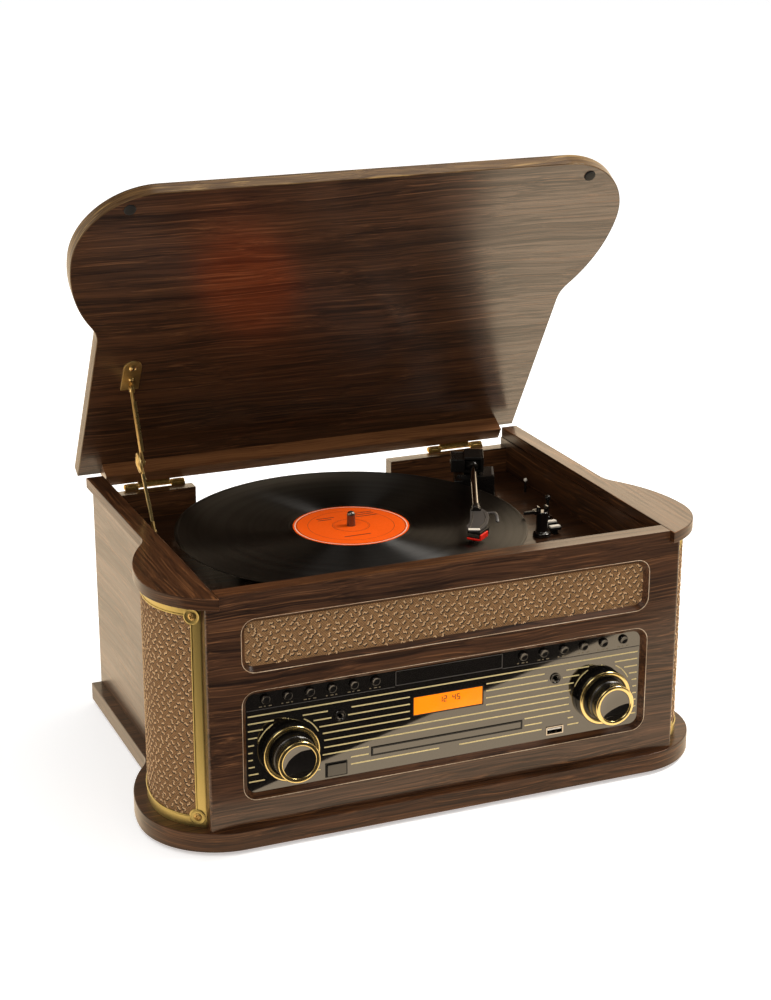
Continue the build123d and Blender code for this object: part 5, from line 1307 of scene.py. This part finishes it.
# Printed arcs and dots round a knob: radii, and the angles of the arcs
ARC_RADIUS = 27.5
ARC_SPANS = ((25, 62), (118, 155))
DOT_RADIUS = 27.0
TICK_Z = 117.3
# Height of the grey line under the button row, a painted highlight along the step's edge
HIGHLIGHT_LINE_Z = 115.6
# Nameplate: middle, half width, bottom, top and the inset of its flat face
PLATE = (-0.9, 47.1, 116.5, 129.3, 0.6)
BUTTON_X = 65
BUTTON_PITCH = 18.5
BUTTON_Z = 124.0
POWER_KEY = (((-106.7, 48.1, -3.2), (-90.3, 58.2, 1.6), 0.5),
             ((-108.5, 46.3, -4.7), (-88.5, 60.0, -3.3), 0.2))
# Bars of the outline round the power key: left, right, bottom and top
KEY_OUTLINE = ((-107.9, -89.1, 58.5, 59.3), (-107.9, -89.1, 47.0, 47.8), (-107.9, -107.0, 47.8, 58.5),
               (-90.0, -89.1, 47.8, 58.5))
# Borders: middle, half width, bottom, top and corner of the outer and inner loop, and the heights
TRAY_BORDER = (-1.3, (66.9, 59.1, 66.4, 0.4), (65.7, 60.2, 65.3, 0.2), (0.35, 0.6, 0.6, 0.35))
DISPLAY_BORDER = (-1.35, (31.4, 86.9, 104.3, 0.6), (30.4, 87.9, 103.3, 0.3), (0.0, 0.3, 0.3, -0.6))
DISPLAY_PANE = ((-31.6, 87.95, -1.5), (28.9, 103.25, 0.3), 0.15)
# Turned profiles of a knob as radius and height above the panel, and the heights of its grooves
GROOVED = ((8.4, 14.8), (16.2, 23.2))
KNOB_BACK = ((0, 0.3), (23.2, 0.3), (23.4, 0.6), (23.4, 6.4), (22.9, 6.8))
KNOB_SKIRT = ((22.9, 6.4), (23.5, 6.7), (23.5, 8.0), (22.5, 8.9), (20.8, 8.9), (19.6, 8.3), (19.2, 7.0))
KNOB_BARREL = ((20.4, 7.8), (19.9, 7.0), (18.2, 6.8), (18.0, 8.0), (18.0, 14.6), (17.2, 15.2), (17.0, 16.0),
               (17.0, 23.7))
KNOB_RING = ((17.0, 23.3), (17.5, 23.7), (17.5, 24.6), (16.7, 25.4), (15.0, 25.5), (13.8, 25.0), (13.4, 23.8))
KNOB_DISH = ((13.6, 24.2), (11.5, 23.4), (8.5, 22.65), (5.0, 22.15), (2.0, 22.0), (0, 22.0))
BUTTON = ((0, -4.6), (5.2, -4.6), (5.2, -3.3), (3.8, -3.3), (3.8, 1.7), (3.55, 2.2), (3.1, 2.45), (2.7, 2.3),
          (2.3, 2.05), (1.2, 1.9), (0, 1.85))
JACK_RING = ((1.8, -6.0), (1.8, 0.7), (2.2, 1.0), (2.9, 0.6), (3.3, 0.6), (3.7, 1.15), (4.3, 1.2), (4.6, 0.9),
             (4.6, 0.0))
# Data socket: its middle, and half width, half height and height above the panel of each loop
SOCKET = (96.0, 52.3)
SOCKET_LOOPS = ((8.0, 3.7, 0.0), (8.0, 3.7, 0.5), (7.8, 3.5, 0.6), (7.1, 2.7, 0.6), (6.9, 2.5, 0.4),
                (6.9, 2.5, -9.0))
# Lit bars of each digit, and each bar's left, bottom, right and top
DIGITS = {"0": "abcdef", "1": "bc", "2": "abged", "3": "abgcd", "4": "fgbc", "5": "afgcd"}
BARS = {"a": (0.3, 4.6, 2.7, 5.3), "g": (0.3, 2.3, 2.7, 3.0), "d": (0.3, 0.0, 2.7, 0.7),
        "f": (0.0, 2.8, 0.75, 4.9), "b": (2.3, 2.8, 3.05, 4.9), "e": (0.0, 0.3, 0.75, 2.4),
        "c": (2.3, 0.3, 3.05, 2.4)}
SHOWN = "12 45"
DIGIT_X = -9.5
DIGIT_Z = 95.4
DIGIT_PITCH = 3.9


def line_breaks(z):
    """The parts of a printed line at this height that stay clear of knobs, keys, sockets and the tray"""
    gaps = [(start, end) for low, high, start, end in LINE_GAPS if low < z < high]
    away = abs(z - KNOB_Z)
    if away < KNOB_CLEAR:
        reach = math.sqrt(KNOB_CLEAR ** 2 - away ** 2)
        gaps += [(x - reach, x + reach) for x in KNOBS]
    pieces = []
    start = -LINE_END
    for low, high in sorted(gaps):
        pieces.append((start, low))
        start = max(start, high)
    pieces.append((start, LINE_END))
    return [p for p in pieces if p[1] - p[0] > 2]


def button_x(side, index):
    """Middle of one of the six buttons of a side, counted outward"""
    return side * (BUTTON_X + BUTTON_PITCH * index)


def border(middle, outer, inner, heights):
    """A raised rim between two loops about this middle"""
    loops = zip((outer, outer, inner, inner), heights)
    return ringed([(window_loop(*loop, 2), height) for loop, height in loops], middle)


class PLAYER_OT_controls(PlayerOperator, bpy.types.Operator):
    """Printed lines, knobs, buttons, key, tray front, display and sockets"""

    bl_idname = "player.controls"
    bl_label = "Controls"

    def make(self, s):
        self.prints(s.line_width / MM / 2)
        self.edge_highlights_and_outlines()
        self.knobs(s.knob_flutes)
        self.buttons()
        self.display()
        self.sockets()

    def prints(self, half):
        prints = Shape(facing())
        for k in range(10):
            z = LINE_TOP - LINE_PITCH * k
            for low, high in line_breaks(z):
                prints.add(block((low, z - half, 0.0), (high, z + half, INK), 0.03, 1))
        for x in KNOBS:
            for start, end in ARC_SPANS:
                inner = arc((x, KNOB_Z), ARC_RADIUS - half * 0.8, start, end, 14)
                outer = arc((x, KNOB_Z), ARC_RADIUS + half * 0.8, end, start, 14)
                prints.add(slab(inner[::-1] + outer[::-1], 0.0, INK, 0.02, 1))
        for k in range(9):
            angle = math.radians(234 - 36 * k)
            right, up = DOT_RADIUS * math.cos(angle), DOT_RADIUS * math.sin(angle)
            if math.sin(angle) >= 0.35:
                for x in KNOBS:
                    prints.add(rod(0.5, 0, INK, 12), 0, facing(x + right, KNOB_Z + up))
        for side in SIDES:
            for index in range(6):
                for tick in range(3):
                    x = button_x(side, index) - 5 + tick * 4
                    wide = 1.5 + (index + tick) % 2
                    prints.add(block((x, TICK_Z, 0.0), (x + wide, TICK_Z + 0.8, INK), 0.03, 1), 1)
        make_piece("panel_lines", prints, "cabinet", ["gold print", "dull print"])

    def edge_highlights_and_outlines(self):
        edge_highlights_and_outlines = Shape(facing())
        # Grey strips paint highlights: a line along the step under the button row and a rim round the
        # nameplate; dark bars outline the power key
        edge_highlights_and_outlines.boxes(*[((low, HIGHLIGHT_LINE_Z - 0.3, 0.0), (high, HIGHLIGHT_LINE_Z + 0.3, 0.35), 0.1, 1)
                     for low, high in ((-173.0, -48.4), (46.6, 173.0))])
        # The nameplate's grey rim is a painted highlight on its bevelled edge
        middle, half, low, high, lip = PLATE
        plate = window_loop(half, low, high, 0.8, 2)
        tall = high - low
        inner = [(x * (half - lip) / half, low + lip + (z - low) * (tall - 2 * lip) / tall)
                 for x, z in plate]
        edge_highlights_and_outlines.add(ringed(((plate, 0.8), (plate, 1.05), (inner, 1.05), (inner, 0.8)), middle))
        edge_highlights_and_outlines.boxes(*[((left, low, 0.0), (right, high, 0.5), 0.1, 1)
                     for left, right, low, high in KEY_OUTLINE], finish=1)
        make_piece("panel_edge_highlights_and_outlines", edge_highlights_and_outlines, "cabinet", ["grey plastic", "rubber"], closed=False)
        rim = Shape(facing()).add(border(*TRAY_BORDER))
        make_piece("tray_border", rim, "disc_tray", ["rubber"], closed=False)

    def knobs(self, flutes):
        barrel = soften(KNOB_BARREL, 0.25, 2, False)
        grooved = [i for i, (_, height) in enumerate(barrel)
                   if any(low < height < high for low, high in GROOVED)]
        for name, x in zip(("volume", "tuning"), KNOBS):
            knob = Shape(facing(x, KNOB_Z))
            knob.add(lathe(soften(KNOB_BACK, 0.2, 2, False), flutes * 4))
            knob.add(lathe(soften(KNOB_SKIRT, 0.6, 3, False), 96), 1)
            knob.add(lathe(barrel, flutes * 4, flutes, 0.35, grooved))
            knob.add(lathe(soften(KNOB_RING, 0.6, 3, False), 96), 1)
            knob.add(lathe(KNOB_DISH, 96), 2)
            knob.add(rod(3.0, -11.0, 1.0, 24), 3)
            make_piece(name + "_control", knob, name,
                       ["black gloss plastic", "polished brass", "gloss black", "steel"], [name + "_knob"],
                       closed=False, sharp=40)

    def buttons(self):
        for side, sign in zip(("left", "right"), SIDES):
            for index in range(6):
                name = side + "_button_" + str(index + 1)
                cap = Shape(facing(button_x(sign, index), BUTTON_Z)).add(lathe(BUTTON, 36))
                make_piece(name + "_cap", cap, name + "_body", ["black gloss plastic"],
                           [name], closed=False, sharp=50)
        key = Shape(facing()).boxes(*POWER_KEY)
        make_piece("power_key", key, "power", ["black gloss plastic"], ["power_button"])

    def display(self):
        pane = Shape(facing()).boxes(DISPLAY_PANE)
        for index, sign in enumerate(SHOWN):
            x = DIGIT_X + index * DIGIT_PITCH
            for bar in DIGITS.get(sign, ""):
                x0, z0, x1, z1 = BARS[bar]
                pane.boxes(((x + x0, DIGIT_Z + z0, 0.28), (x + x1, DIGIT_Z + z1, 0.38), 0.04, 1), finish=1)
        make_piece("display_pane", pane, "cabinet", ["display light", "display ink"],
                   ["display_window"])
        bezel = Shape(facing()).add(border(*DISPLAY_BORDER))
        make_piece("display_bezel", bezel, "cabinet", ["black plastic"], closed=False)

    def sockets(self):
        shape = Shape(facing())
        for x in JACKS:
            shape.add(lathe(JACK_RING, 40), 0, facing(x, JACK_Z))
            shape.add(lathe([(0, -6.0), (1.8, -6.0)], 24), 1, facing(x, JACK_Z))
        middle, level = SOCKET
        shape.add(ringed([(window_loop(half, level - rise, level + rise, 0.5, 2), height)
                          for half, rise, height in SOCKET_LOOPS], middle), 2)
        shape.boxes(((89.4, 52.7, -8.5), (102.6, 54.2, 0.1), 0.2, 1), finish=3)
        shape.boxes(((89.2, 50.0, -9.5), (102.8, 54.6, -9.0), 0.1, 1), finish=1)
        make_piece("panel_sockets", shape, "cabinet",
                   ["black gloss plastic", "rubber", "chrome", "pale plastic"], ["front_sockets"],
                   closed=False)


# Radii of the smooth bands between the tracks, and the section of one, out and up from there
BANDS = (140.6, 121.5, 106.0, 90.2, 73.8)
BAND = ((0.9, -0.3), (0.6, -0.33), (-0.6, -0.33), (-0.9, -0.3))
# Rings on the label as radius, half width and finish, and bars as X, Y and length
LABEL_RINGS = ((46.5, 0.22, 2), (37.0, 0.16, 2), (16.0, 0.16, 2), (14.8, 0.1, 2), (47.95, 0.35, 3))
LABEL_BARS = ((-22, 24, 16), (-22, 20, 12), (8, 27, 22), (12, 22.5, 18), (12, 18, 20), (-16, -26, 24))


class PLAYER_OT_turntable(PlayerOperator, bpy.types.Operator):
    """Record with its label"""

    bl_idname = "player.turntable"
    bl_label = "Record"

    def make(self, s):
        top = RECORD_TOP
        low = top - 1.8
        profile = [(3.7, low), (147.0, low), (150.2, low + 0.3), (150.8, low + 0.9), (150.6, top - 0.35),
                   (150.0, top - 0.08), (149.0, top), (147.6, top - 0.05), (146.6, top - 0.3)]
        profile += [(radius + out, top + up) for radius in BANDS for out, up in BAND]
        profile += [(60.5, top - 0.3), (60.0, top - 0.4), (53.5, top - 0.4), (52.6, top - 0.1),
                    (51.6, top - 0.05), (50.2, top - 0.12), (3.7, top - 0.12)]
        paper = [(49.8, top - 0.2), (49.8, top - 0.02), (49.5, top), (3.8, top), (3.8, top - 0.2)]
        disc = Shape(at(*PLATTER, 0)).add(lathe(profile, 192, closed=True)).add(lathe(paper, 128), 1)
        under, over = top - 0.05, top + 0.02
        for radius, half, finish in LABEL_RINGS:
            disc.add(lathe([(radius - half, under), (radius - half, over), (radius + half, over),
                            (radius + half, under)], 128), finish)
        disc.boxes(*[((x, y, under), (x + long, y + 1.5, over), 0.02, 1) for x, y, long in LABEL_BARS],
                   finish=2)
        make_piece("vinyl_record", disc, "turntable",
                   ["vinyl", "label paper", "label print", "pale plastic"], ["record"],
                   closed=False, sharp=25)


# The arm's own place is its pivot, with X along the tube, and its forms are drawn there
ARM = at(136.6, 119.0, 0, -113.7)
PIN = ((0, 0), (2.4, 0), (2.4, 0.5), (1.9, 0.8), (0, 0.8))
COLLAR = ((3.2, 128.5), (3.9, 128.8), (4.3, 130.0), (4.3, 134.0), (4.6, 134.5), (4.6, 140.0), (4.1, 140.4),
          (4.1, 141.2), (4.6, 141.6), (4.6, 144.0), (0, 144.0))
HEADSHELL = ((137.5, 5.2), (139.0, 6.6), (146.0, 9.5), (158.0, 10.6), (176.0, 8.6), (187.0, 4.6),
             (193.0, 1.6), (193.0, -7.4), (182.0, -9.4), (173.0, -6.4), (152.0, -5.4), (137.5, -5.2))
SHELL_LINES = (((146, -2.6, 208.1), (168, -3.8, 208.1), (188, -6.6, 208.1)),
               ((146, 6.6, 208.1), (162, 7.6, 208.1), (176, 5.8, 208.1), (190, 0.8, 208.1)))
FINGER_LIFT = ((147, 9.0, 207.0), (145.5, 12.0, 207.2), (146.0, 15.0, 207.4), (149.5, 17.0, 206.6),
               (154.0, 17.6, 204.8), (157.5, 17.6, 203.0))


class PLAYER_OT_tonearm(PlayerOperator, bpy.types.Operator):
    """Pivot housing, arm tube, headshell with its finger lift, cartridge and turret"""

    bl_idname = "player.tonearm"
    bl_label = "Tonearm"

    def make(self, s):
        turret = Shape(ARM).boxes(((-15, -9, DECK_TOP), (15, 20, 197.5), 1.2, 3),
                                  ((-15, -17, DECK_TOP), (15, -8, 192.5), 1.2, 3),
                                  ((-16.5, -18.5, DECK_TOP), (16.5, 21.5, DECK_TOP + 1.6), 0.6))
        turret.add(lathe([(0, 197.0), (9.5, 197.0), (9.5, 197.4), (9.0, 197.7), (0, 197.7)], 48))
        turret.boxes(((-12, 17.5, 197.3), (12, 19.5, 198.1), 0.3), finish=1)
        make_piece("arm_turret", turret, "cabinet", ["black plastic", "grey plastic"],
                   ["tonearm_base"])

        pivot = Shape(ARM).add(rod(9.0, 198.0, 200.2, 48))
        pivot.boxes(((-14, -20, 199.8), (13, -7, 212.2), 1.0, 3), ((-14, 7, 199.8), (13, 10, 214.5), 0.9, 3),
                    ((-14, -8, 211.6), (13, 8, 214.5), 0.9, 3), ((-14, -8, 199.8), (-11.5, 8, 213), 0.6),
                    ((-13, -7, 199.8), (13, 7, 201.9), 0.4))
        pivot.boxes(((-11, -18.6, 212.0), (-9.8, -8.4, 212.5), 0.2), finish=1)
        for y, turn in ((9.8, -90), (-19.8, 90)):
            pivot.add(lathe(PIN, 32), 2, ARM @ at(0, y, ARM_Z, turn, "X"))
        make_piece("arm_housing", pivot, "arm_pivot", ["black plastic", "grey plastic", "steel"],
                   ["tonearm_pivot"])

        lengthwise = ARM @ at(0, 0, ARM_Z, 90, "Y")
        arm = Shape(ARM).boxes(((-10, -6.5, 203.0), (10, 6.5, 210.0), 0.9, 3), finish=1)
        arm.add(rod(1.5, 0, 16), 1, ARM @ at(0, -8.0, ARM_Z, -90, "X"))
        arm.add(lathe([(0, 6.0), (4.4, 6.0), (4.4, 15.5), (3.9, 16.2), (3.2, 16.4)], 40), 1, lengthwise)
        arm.add(lathe([(3.2, 8.0), (3.2, 131.5)], 40), 0, lengthwise)
        arm.add(lathe(COLLAR, 40), 1, lengthwise)
        arm.add(slab(soften(HEADSHELL, 2.0, 3)[::-1], 206.0, 208.0, 0.5), 2)
        for line in SHELL_LINES:
            arm.add(tube(line, 0.35, 6), 3)
        arm.add(tube(smooth(FINGER_LIFT), 1.5, 10, flat=0.55), 2)
        arm.boxes(((189.4, -7.8, 207.6), (193.2, 2.0, 208.5), 0.3), finish=4)
        make_piece("arm_tube", arm, "arm",
                   ["chrome", "black plastic", "grey plastic", "steel", "pale plastic"], ["tonearm"],
                   closed=False)

        head = Shape(ARM @ at(190.5, -3.0, 0, -27))
        head.boxes(((-17, -6, 199.6), (0.6, 6, 206.0), 0.5, 3))
        head.boxes(((-14, -5, 197.8), (0.4, 5, 199.9), 0.6, 3),
                   ((-3.2, -6.2, 198.4), (1.0, 6.2, 200.2), 0.6, 3), finish=1)
        head.boxes(((0.2, -5.4, 201.0), (1.0, 5.0, 203.6), 0.2), finish=2)
        head.boxes(((-13.0, 5.6, 198.8), (1.0, 7.0, 203.8), 0.5, 3), finish=1)
        head.boxes(((-15.6, -1.0, 205.8), (-14.2, 1.0, 206.3), 0.1), finish=2)
        needle = [(0, 195.8), (0.3, 195.8), (1.1, 198.3), (0, 198.3)]
        head.add(lathe(needle, 12), 2, head.place @ at(-1, 0, 0))
        make_piece("pickup", head, "arm", ["black plastic", "red plastic", "steel"],
                   ["cartridge"])


# Places on the deck, and profiles as radius and height
REST = (144.0, -9.0)
STUD = (184.0, 104.0)
CUE = (165, 22)
CUE_AXIS_Z = 178.5
POST = ((0, DECK_TOP), (7.7, DECK_TOP), (7.7, DECK_TOP + 3.2), (6.4, DECK_TOP + 4.0), (5.2, DECK_TOP + 4.6),
        (5.2, 197.4), (4.7, 198.0), (0, 198.0))
PRONG = ((3.0, -3.6), (4.9, -2.2), (5.2, 0.0), (4.9, 2.2), (3.0, 3.6))
# Name, X and Y of the small levers
LEVERS = (("speed", 157.5, -7.0), ("auto_stop", 160.5, 6.0))


class PLAYER_OT_rest(PlayerOperator, bpy.types.Operator):
    """Arm rest, its clip, the cue lever and the two small levers"""

    bl_idname = "player.rest"
    bl_label = "Arm rest and levers"

    def make(self, s):
        self.rest()
        clip = Shape().boxes(((126.05, -10.1, 196.6), (137.6, -7.9, 199.6), 0.6, 3))
        clip.add(rod(1.0, -3.4, 3.4), 1, at(137.05, REST[1], 198.1, 90, "X"))
        make_piece("rest_latch", clip, "clip", ["black plastic", "steel"], ["rest_clip"])

        axle = at(*CUE, CUE_AXIS_Z, 90, "Y")
        cue = Shape(at(*CUE, 0))
        cue.add(lathe([(0, -1.5), (2.7, -1.5), (3.0, -1.2), (3.0, 1.2), (2.7, 1.5), (0, 1.5)], 32), 0, axle)
        cue.add(rod(1.5, -3.8, 3.8), 1, axle)
        cue.add(lathe([(1.6, CUE_AXIS_Z), (1.5, 192.0), (1.2, 196.0)], 20))
        cue.add(ball(2.6, 197.9))
        make_piece("cue_stick", cue, "cue", ["black plastic", "chrome"], ["cue_lever"],
                   closed=False)

        for name, x, y in LEVERS:
            lever = Shape().boxes(((x - 5.5, y - 2.5, 178.5), (x + 5.5, y + 2.5, 181.0), 0.5, 3))
            pad = [(x - 4.9, y - 2.0), (x + 4.9, y - 2.0), (x + 4.9, y + 2.0), (x - 4.9, y + 2.0)]
            lever.add(slab(soften(pad, 0.6), 180.8, 182.5, 0.4), 1)
            lever.boxes(((x - 2.5, y - 1.5, 169.5), (x + 2.5, y + 1.5, 179.0), 0.2))
            make_piece(name + "_paddle", lever, name, ["black plastic", "pale plastic"],
                       [name + "_lever"])

    def rest(self):
        """The post with its prongs and ears, and the ball-ended stud beside the arm"""
        place = at(*REST, 0)
        rest = Shape().add(lathe(soften(POST, 0.4, 2, False), 48), 0, place)
        for side in SIDES:
            prong = soften([(side * x, y) for x, y in PRONG], 0.5, 2)
            rest.add(slab(prong[::side], 197.0, 202.7, 0.5), 0, place)
        rest.boxes(*[((135.3, y, 196.35), (139.8, y + 2.0, 199.85), 0.4) for y in (-12.4, -7.6)])
        stud = at(*STUD, 0)
        rest.add(lathe([(0, DECK_TOP), (1.2, DECK_TOP), (0.9, 187.0), (0, 187.0)], 16), 0, stud)
        # Its ball wears pale plastic: a painted glint in place of the light on a chrome ball
        rest.add(ball(1.7, 187.3), 2, stud)
        rest.add(lathe([(7.9, DECK_TOP + 0.9), (8.0, DECK_TOP + 1.3), (7.9, DECK_TOP + 1.7)], 48), 1, place)
        make_piece("rest_post", rest, "cabinet",
                   ["black gloss plastic", "steel", "pale plastic"], ["arm_rest"], closed=False)


# Bumper under the lid, drawn with the lid closed
BUMPER = (203, -132)
BUMPER_PROFILE = ((0, 217.6), (5.0, 217.6), (5.0, 216.9), (4.6, 216.3), (3.6, 216.1), (0, 216.1))


class PLAYER_OT_lid(PlayerOperator, bpy.types.Operator):
    """Lid panel and its round bumpers"""

    bl_idname = "player.lid"
    bl_label = "Lid"

    def make(self, s):
        turn = opened()
        panel = Shape(turn)
        add_board(panel, plan_outline(), LID_LOW, LID_TOP, s.edge_round / MM)
        panel.finishes[-1] = 2
        # The rim wears the lid band finish, whose lighter tones paint a sheen on it
        make_piece("lid_board", panel, "lid", ["wood lid", "wood lid band", "wood top"],
                   ["lid_panel"], flat=True)
        bumpers = Shape()
        for side in SIDES:
            bumpers.add(lathe(BUMPER_PROFILE, 36), 0, turn @ at(side * BUMPER[0], BUMPER[1], 0))
        make_piece("lid_pads", bumpers, "lid", ["rubber"], ["lid_bumpers"], closed=False)


HINGES = (-148.0, 148.0)
# Turned profiles of a hinge, as radius and distance from its middle
KNUCKLE = ((0, 15.4), (2.5, 15.4), (2.9, 16.2), (2.5, 17.0), (2.9, 18.0), (2.9, 25.0), (2.5, 25.8),
           (2.8, 26.6), (2.4, 27.6), (1.2, 28.2), (0, 28.3))
LID_KNUCKLE = ((0, -15.0), (2.0, -15.0), (2.3, -14.2), (2.0, -13.4), (2.0, 13.4), (2.3, 14.2), (2.0, 15.0),
               (0, 15.0))
LEAF_RIVET = (2.2, 0.8)
# The stay: X of its parts, and thickness and width of its links
BRACKET_X = -179.8
UPPER_X = -181.5
LOWER_X = -183.4
WALL_X = -195.0
LINK = (1.4, 7.0)
LID_PIVOT = (65.8, 209.9)
LID_PIN = ((0, -182.7), (2.0, -182.6), (2.8, -181.9), (2.8, -181.8), (1.6, -181.8), (1.6, -179.0),
           (0, -179.0))
ELBOW_COVER = ((0, 3.4), (1.4, 3.2), (2.4, 2.5), (2.9, 2.0), (3.3, 2.3), (3.9, 1.7), (4.4, 1.2), (5.0, 1.4),
               (5.5, 0.7), (5.6, 0.0), (0, 0.0))
ELBOW_PIN = ((0, -183.6), (1.6, -183.6), (1.6, -179.4), (2.6, -179.4), (2.4, -178.9), (0, -178.6))
FOOT_PIN = ((0, -195.0), (4.2, -195.0), (4.0, -192.8), (3.2, -192.4), (3.2, -183.7), (1.6, -183.7),
            (1.6, -181.7), (2.8, -181.6), (2.0, -180.9), (0, -180.8))


class PLAYER_OT_hinges(PlayerOperator, bpy.types.Operator):
    """The two barrel hinges and the folding stay"""

    bl_idname = "player.hinges"
    bl_label = "Hinges and stay"

    def make(self, s):
        turn = opened()
        self.barrels(turn)
        finishes = ["aged brass", "stay brass"]
        make_piece("stay_bracket", self.bracket(turn), "lid", finishes, ["stay_lid_bracket"])
        upper, lower, foot = Shape(), Shape(), Shape(upright(WALL_X))
        add_link(upper, STAY_TOP, STAY_ELBOW, UPPER_X, *LINK, 2.7, 11.0)
        make_piece("stay_link_high", upper, "upper_link", finishes, ["stay_upper_link"])

        add_link(lower, STAY_ELBOW, STAY_FOOT, LOWER_X, *LINK, -1.3, 11.0)
        along = Vector(STAY_FOOT) - Vector(STAY_ELBOW)
        lean = math.degrees(math.atan2(along.y, along.x)) - 90
        oval = Matrix(((0, 0, -1, LOWER_X), (0, 1, 0, 0), (1, 0, 0, 0), (0, 0, 0, 1)))
        stretch = Matrix.Diagonal((1.75, 1.0, 1.0, 1.0))
        lower.add(lathe(ELBOW_COVER, 40), 1, at(0, *STAY_ELBOW, lean, "X") @ oval @ stretch)
        lower.add(lathe(ELBOW_PIN, 24), 1, at(0, *STAY_ELBOW, 90, "Y"))
        make_piece("stay_link_low", lower, "lower_link", finishes, ["stay_lower_link"])

        foot.add(slab(soften([(55, 185.5), (81, 185.5), (81, 203.5), (55, 203.5)], 4.0, 3), 0, LINK[0], 0.3))
        for y in (58.5, 77.5):
            foot.add(dome(2.0, 0.8), 1, at(WALL_X + LINK[0], y, 190.0, 90, "Y"))
        foot.add(lathe(FOOT_PIN, 32), 1, at(0, *STAY_FOOT, 90, "Y"))
        make_piece("stay_foot", foot, "cabinet", finishes, ["stay_wall_bracket"])

    def barrels(self, turn):
        """The hinges: knuckles, leaves and rivets on the rear block and on the lid's batten"""
        body, lid = Shape(), Shape(turn)
        for x in HINGES:
            axle = at(x, *HINGE, 90, "Y")
            for side in SIDES:
                profile = soften(KNUCKLE, 0.25, 1, False)
                flutes = [i for i, (r, h) in enumerate(profile) if r > 2.8 and 17.5 < h < 25.5]
                body.add(lathe([(r, side * h) for r, h in profile], 48, 12, 0.45, flutes), 0, axle)
                low, high = sorted((side * 15.4, side * 28.0))
                body.boxes(((x + low, 180.2, 195.6), (x + high, 181.1, 201.0), 0.3))
                body.add(dome(*LEAF_RIVET), 0, at(x + side * 21.7, 181.2, 189.0, -90, "X"))
            body.boxes(((x - 28, 180.1, 184.0), (x + 28, 181.2, 196.8), 0.3))
            lid.add(lathe(LID_KNUCKLE, 48, 12, 0.3, (3, 4)), 0, turn @ axle)
            lid.boxes(((x - 15, 181.6, 202.0), (x + 15, 182.8, 204.0), 0.3),
                      ((x - 15, 180.1, 203.2), (x + 15, 181.9, 214.5), 0.3))
            for side in SIDES:
                lid.add(dome(*LEAF_RIVET), 0, turn @ at(x + side * 9, 181.9, 209.0, -90, "X"))
        make_piece("hinge_body_pair", body, "cabinet", ["hinge brass"], ["body_hinge_leaves"])
        make_piece("hinge_lid_pair", lid, "lid", ["hinge brass"], ["lid_hinge_leaves"])

    def bracket(self, turn):
        """The stay's plate under the lid, with its screws, its ear and the pin of the upper link"""
        bracket = Shape(turn)
        low, high = 216.2, LID_LOW
        plate = arc((BRACKET_X, 46.8), 8.0, 180, 360, 16) + [(BRACKET_X + 8.0, 72.8), (BRACKET_X - 8.0, 72.8)]
        bracket.add(slab(plate, low, high, 0.4))
        for y, radius in ((46.5, 3.4), (60.0, 2.2)):
            head = [(0, low), (radius, low), (radius, 215.6), (radius * 0.7, 215.0), (radius * 0.5, 215.3),
                    (radius * 0.3, 214.9), (0, 214.8)]
            bracket.add(lathe(head, 28), 1, turn @ at(BRACKET_X, y, 0))
        ear = arc(LID_PIVOT, 3.5, 180, 360, 14) + [(69.3, 216.4), (62.3, 216.4)]
        bracket.add(slab(ear, 0, LINK[0], 0.2), 0, turn @ upright(BRACKET_X))
        bracket.add(lathe(LID_PIN, 28), 1, turn @ at(0, *LID_PIVOT, 90, "Y"))
        return bracket


FEET_X = 184.5
FEET_Y = (-119, 152)
FOOT = ((0, 3.5), (10.0, 3.5), (10.0, 2.6), (9.2, 0.4), (8.6, 0.0), (4.0, 0.0), (3.6, 0.6), (0, 0.6))


class PLAYER_OT_feet(PlayerOperator, bpy.types.Operator):
    """Round rubber feet"""

    bl_idname = "player.feet"
    bl_label = "Feet"

    def make(self, s):
        feet = Shape()
        for side in SIDES:
            for y in FEET_Y:
                feet.add(lathe(FOOT, 40), 0, at(side * FEET_X, y, 0))
        make_piece("round_feet", feet, "cabinet", ["rubber"], ["rubber_feet"], closed=False)


class PLAYER_PT_panel(bpy.types.Panel):
    """Lists the record player's settings and its operators in the sidebar"""

    bl_label = "Record player"
    bl_space_type = "VIEW_3D"
    bl_region_type = "UI"
    bl_category = "Record player"

    def draw(self, context):
        settings = context.scene.record_player
        for name in settings.bl_rna.properties.keys():
            if name not in ("rna_type", "name"):
                self.layout.prop(settings, name)
        for operator in OPERATORS:
            self.layout.operator(operator.bl_idname)


OPERATORS = (
    PLAYER_OT_stage,
    PLAYER_OT_finishes,
    PLAYER_OT_boards,
    PLAYER_OT_columns,
    PLAYER_OT_controls,
    PLAYER_OT_turntable,
    PLAYER_OT_tonearm,
    PLAYER_OT_rest,
    PLAYER_OT_lid,
    PLAYER_OT_hinges,
    PLAYER_OT_feet,
)
CLASSES = (PlayerSettings, *OPERATORS, PLAYER_PT_panel)


def register():
    for item in CLASSES:
        bpy.utils.register_class(item)
    bpy.types.Scene.record_player = PointerProperty(type=PlayerSettings)


def unregister():
    del bpy.types.Scene.record_player
    for item in reversed(CLASSES):
        bpy.utils.unregister_class(item)


def main():
    register()
    bpy.ops.player.stage()
    bpy.ops.player.finishes()
    bpy.ops.player.boards()
    bpy.ops.player.columns()
    bpy.ops.player.controls()
    bpy.ops.player.turntable()
    bpy.ops.player.tonearm()
    bpy.ops.player.rest()
    bpy.ops.player.lid()
    bpy.ops.player.hinges()
    bpy.ops.player.feet()


if __name__ == "__main__":
    main()
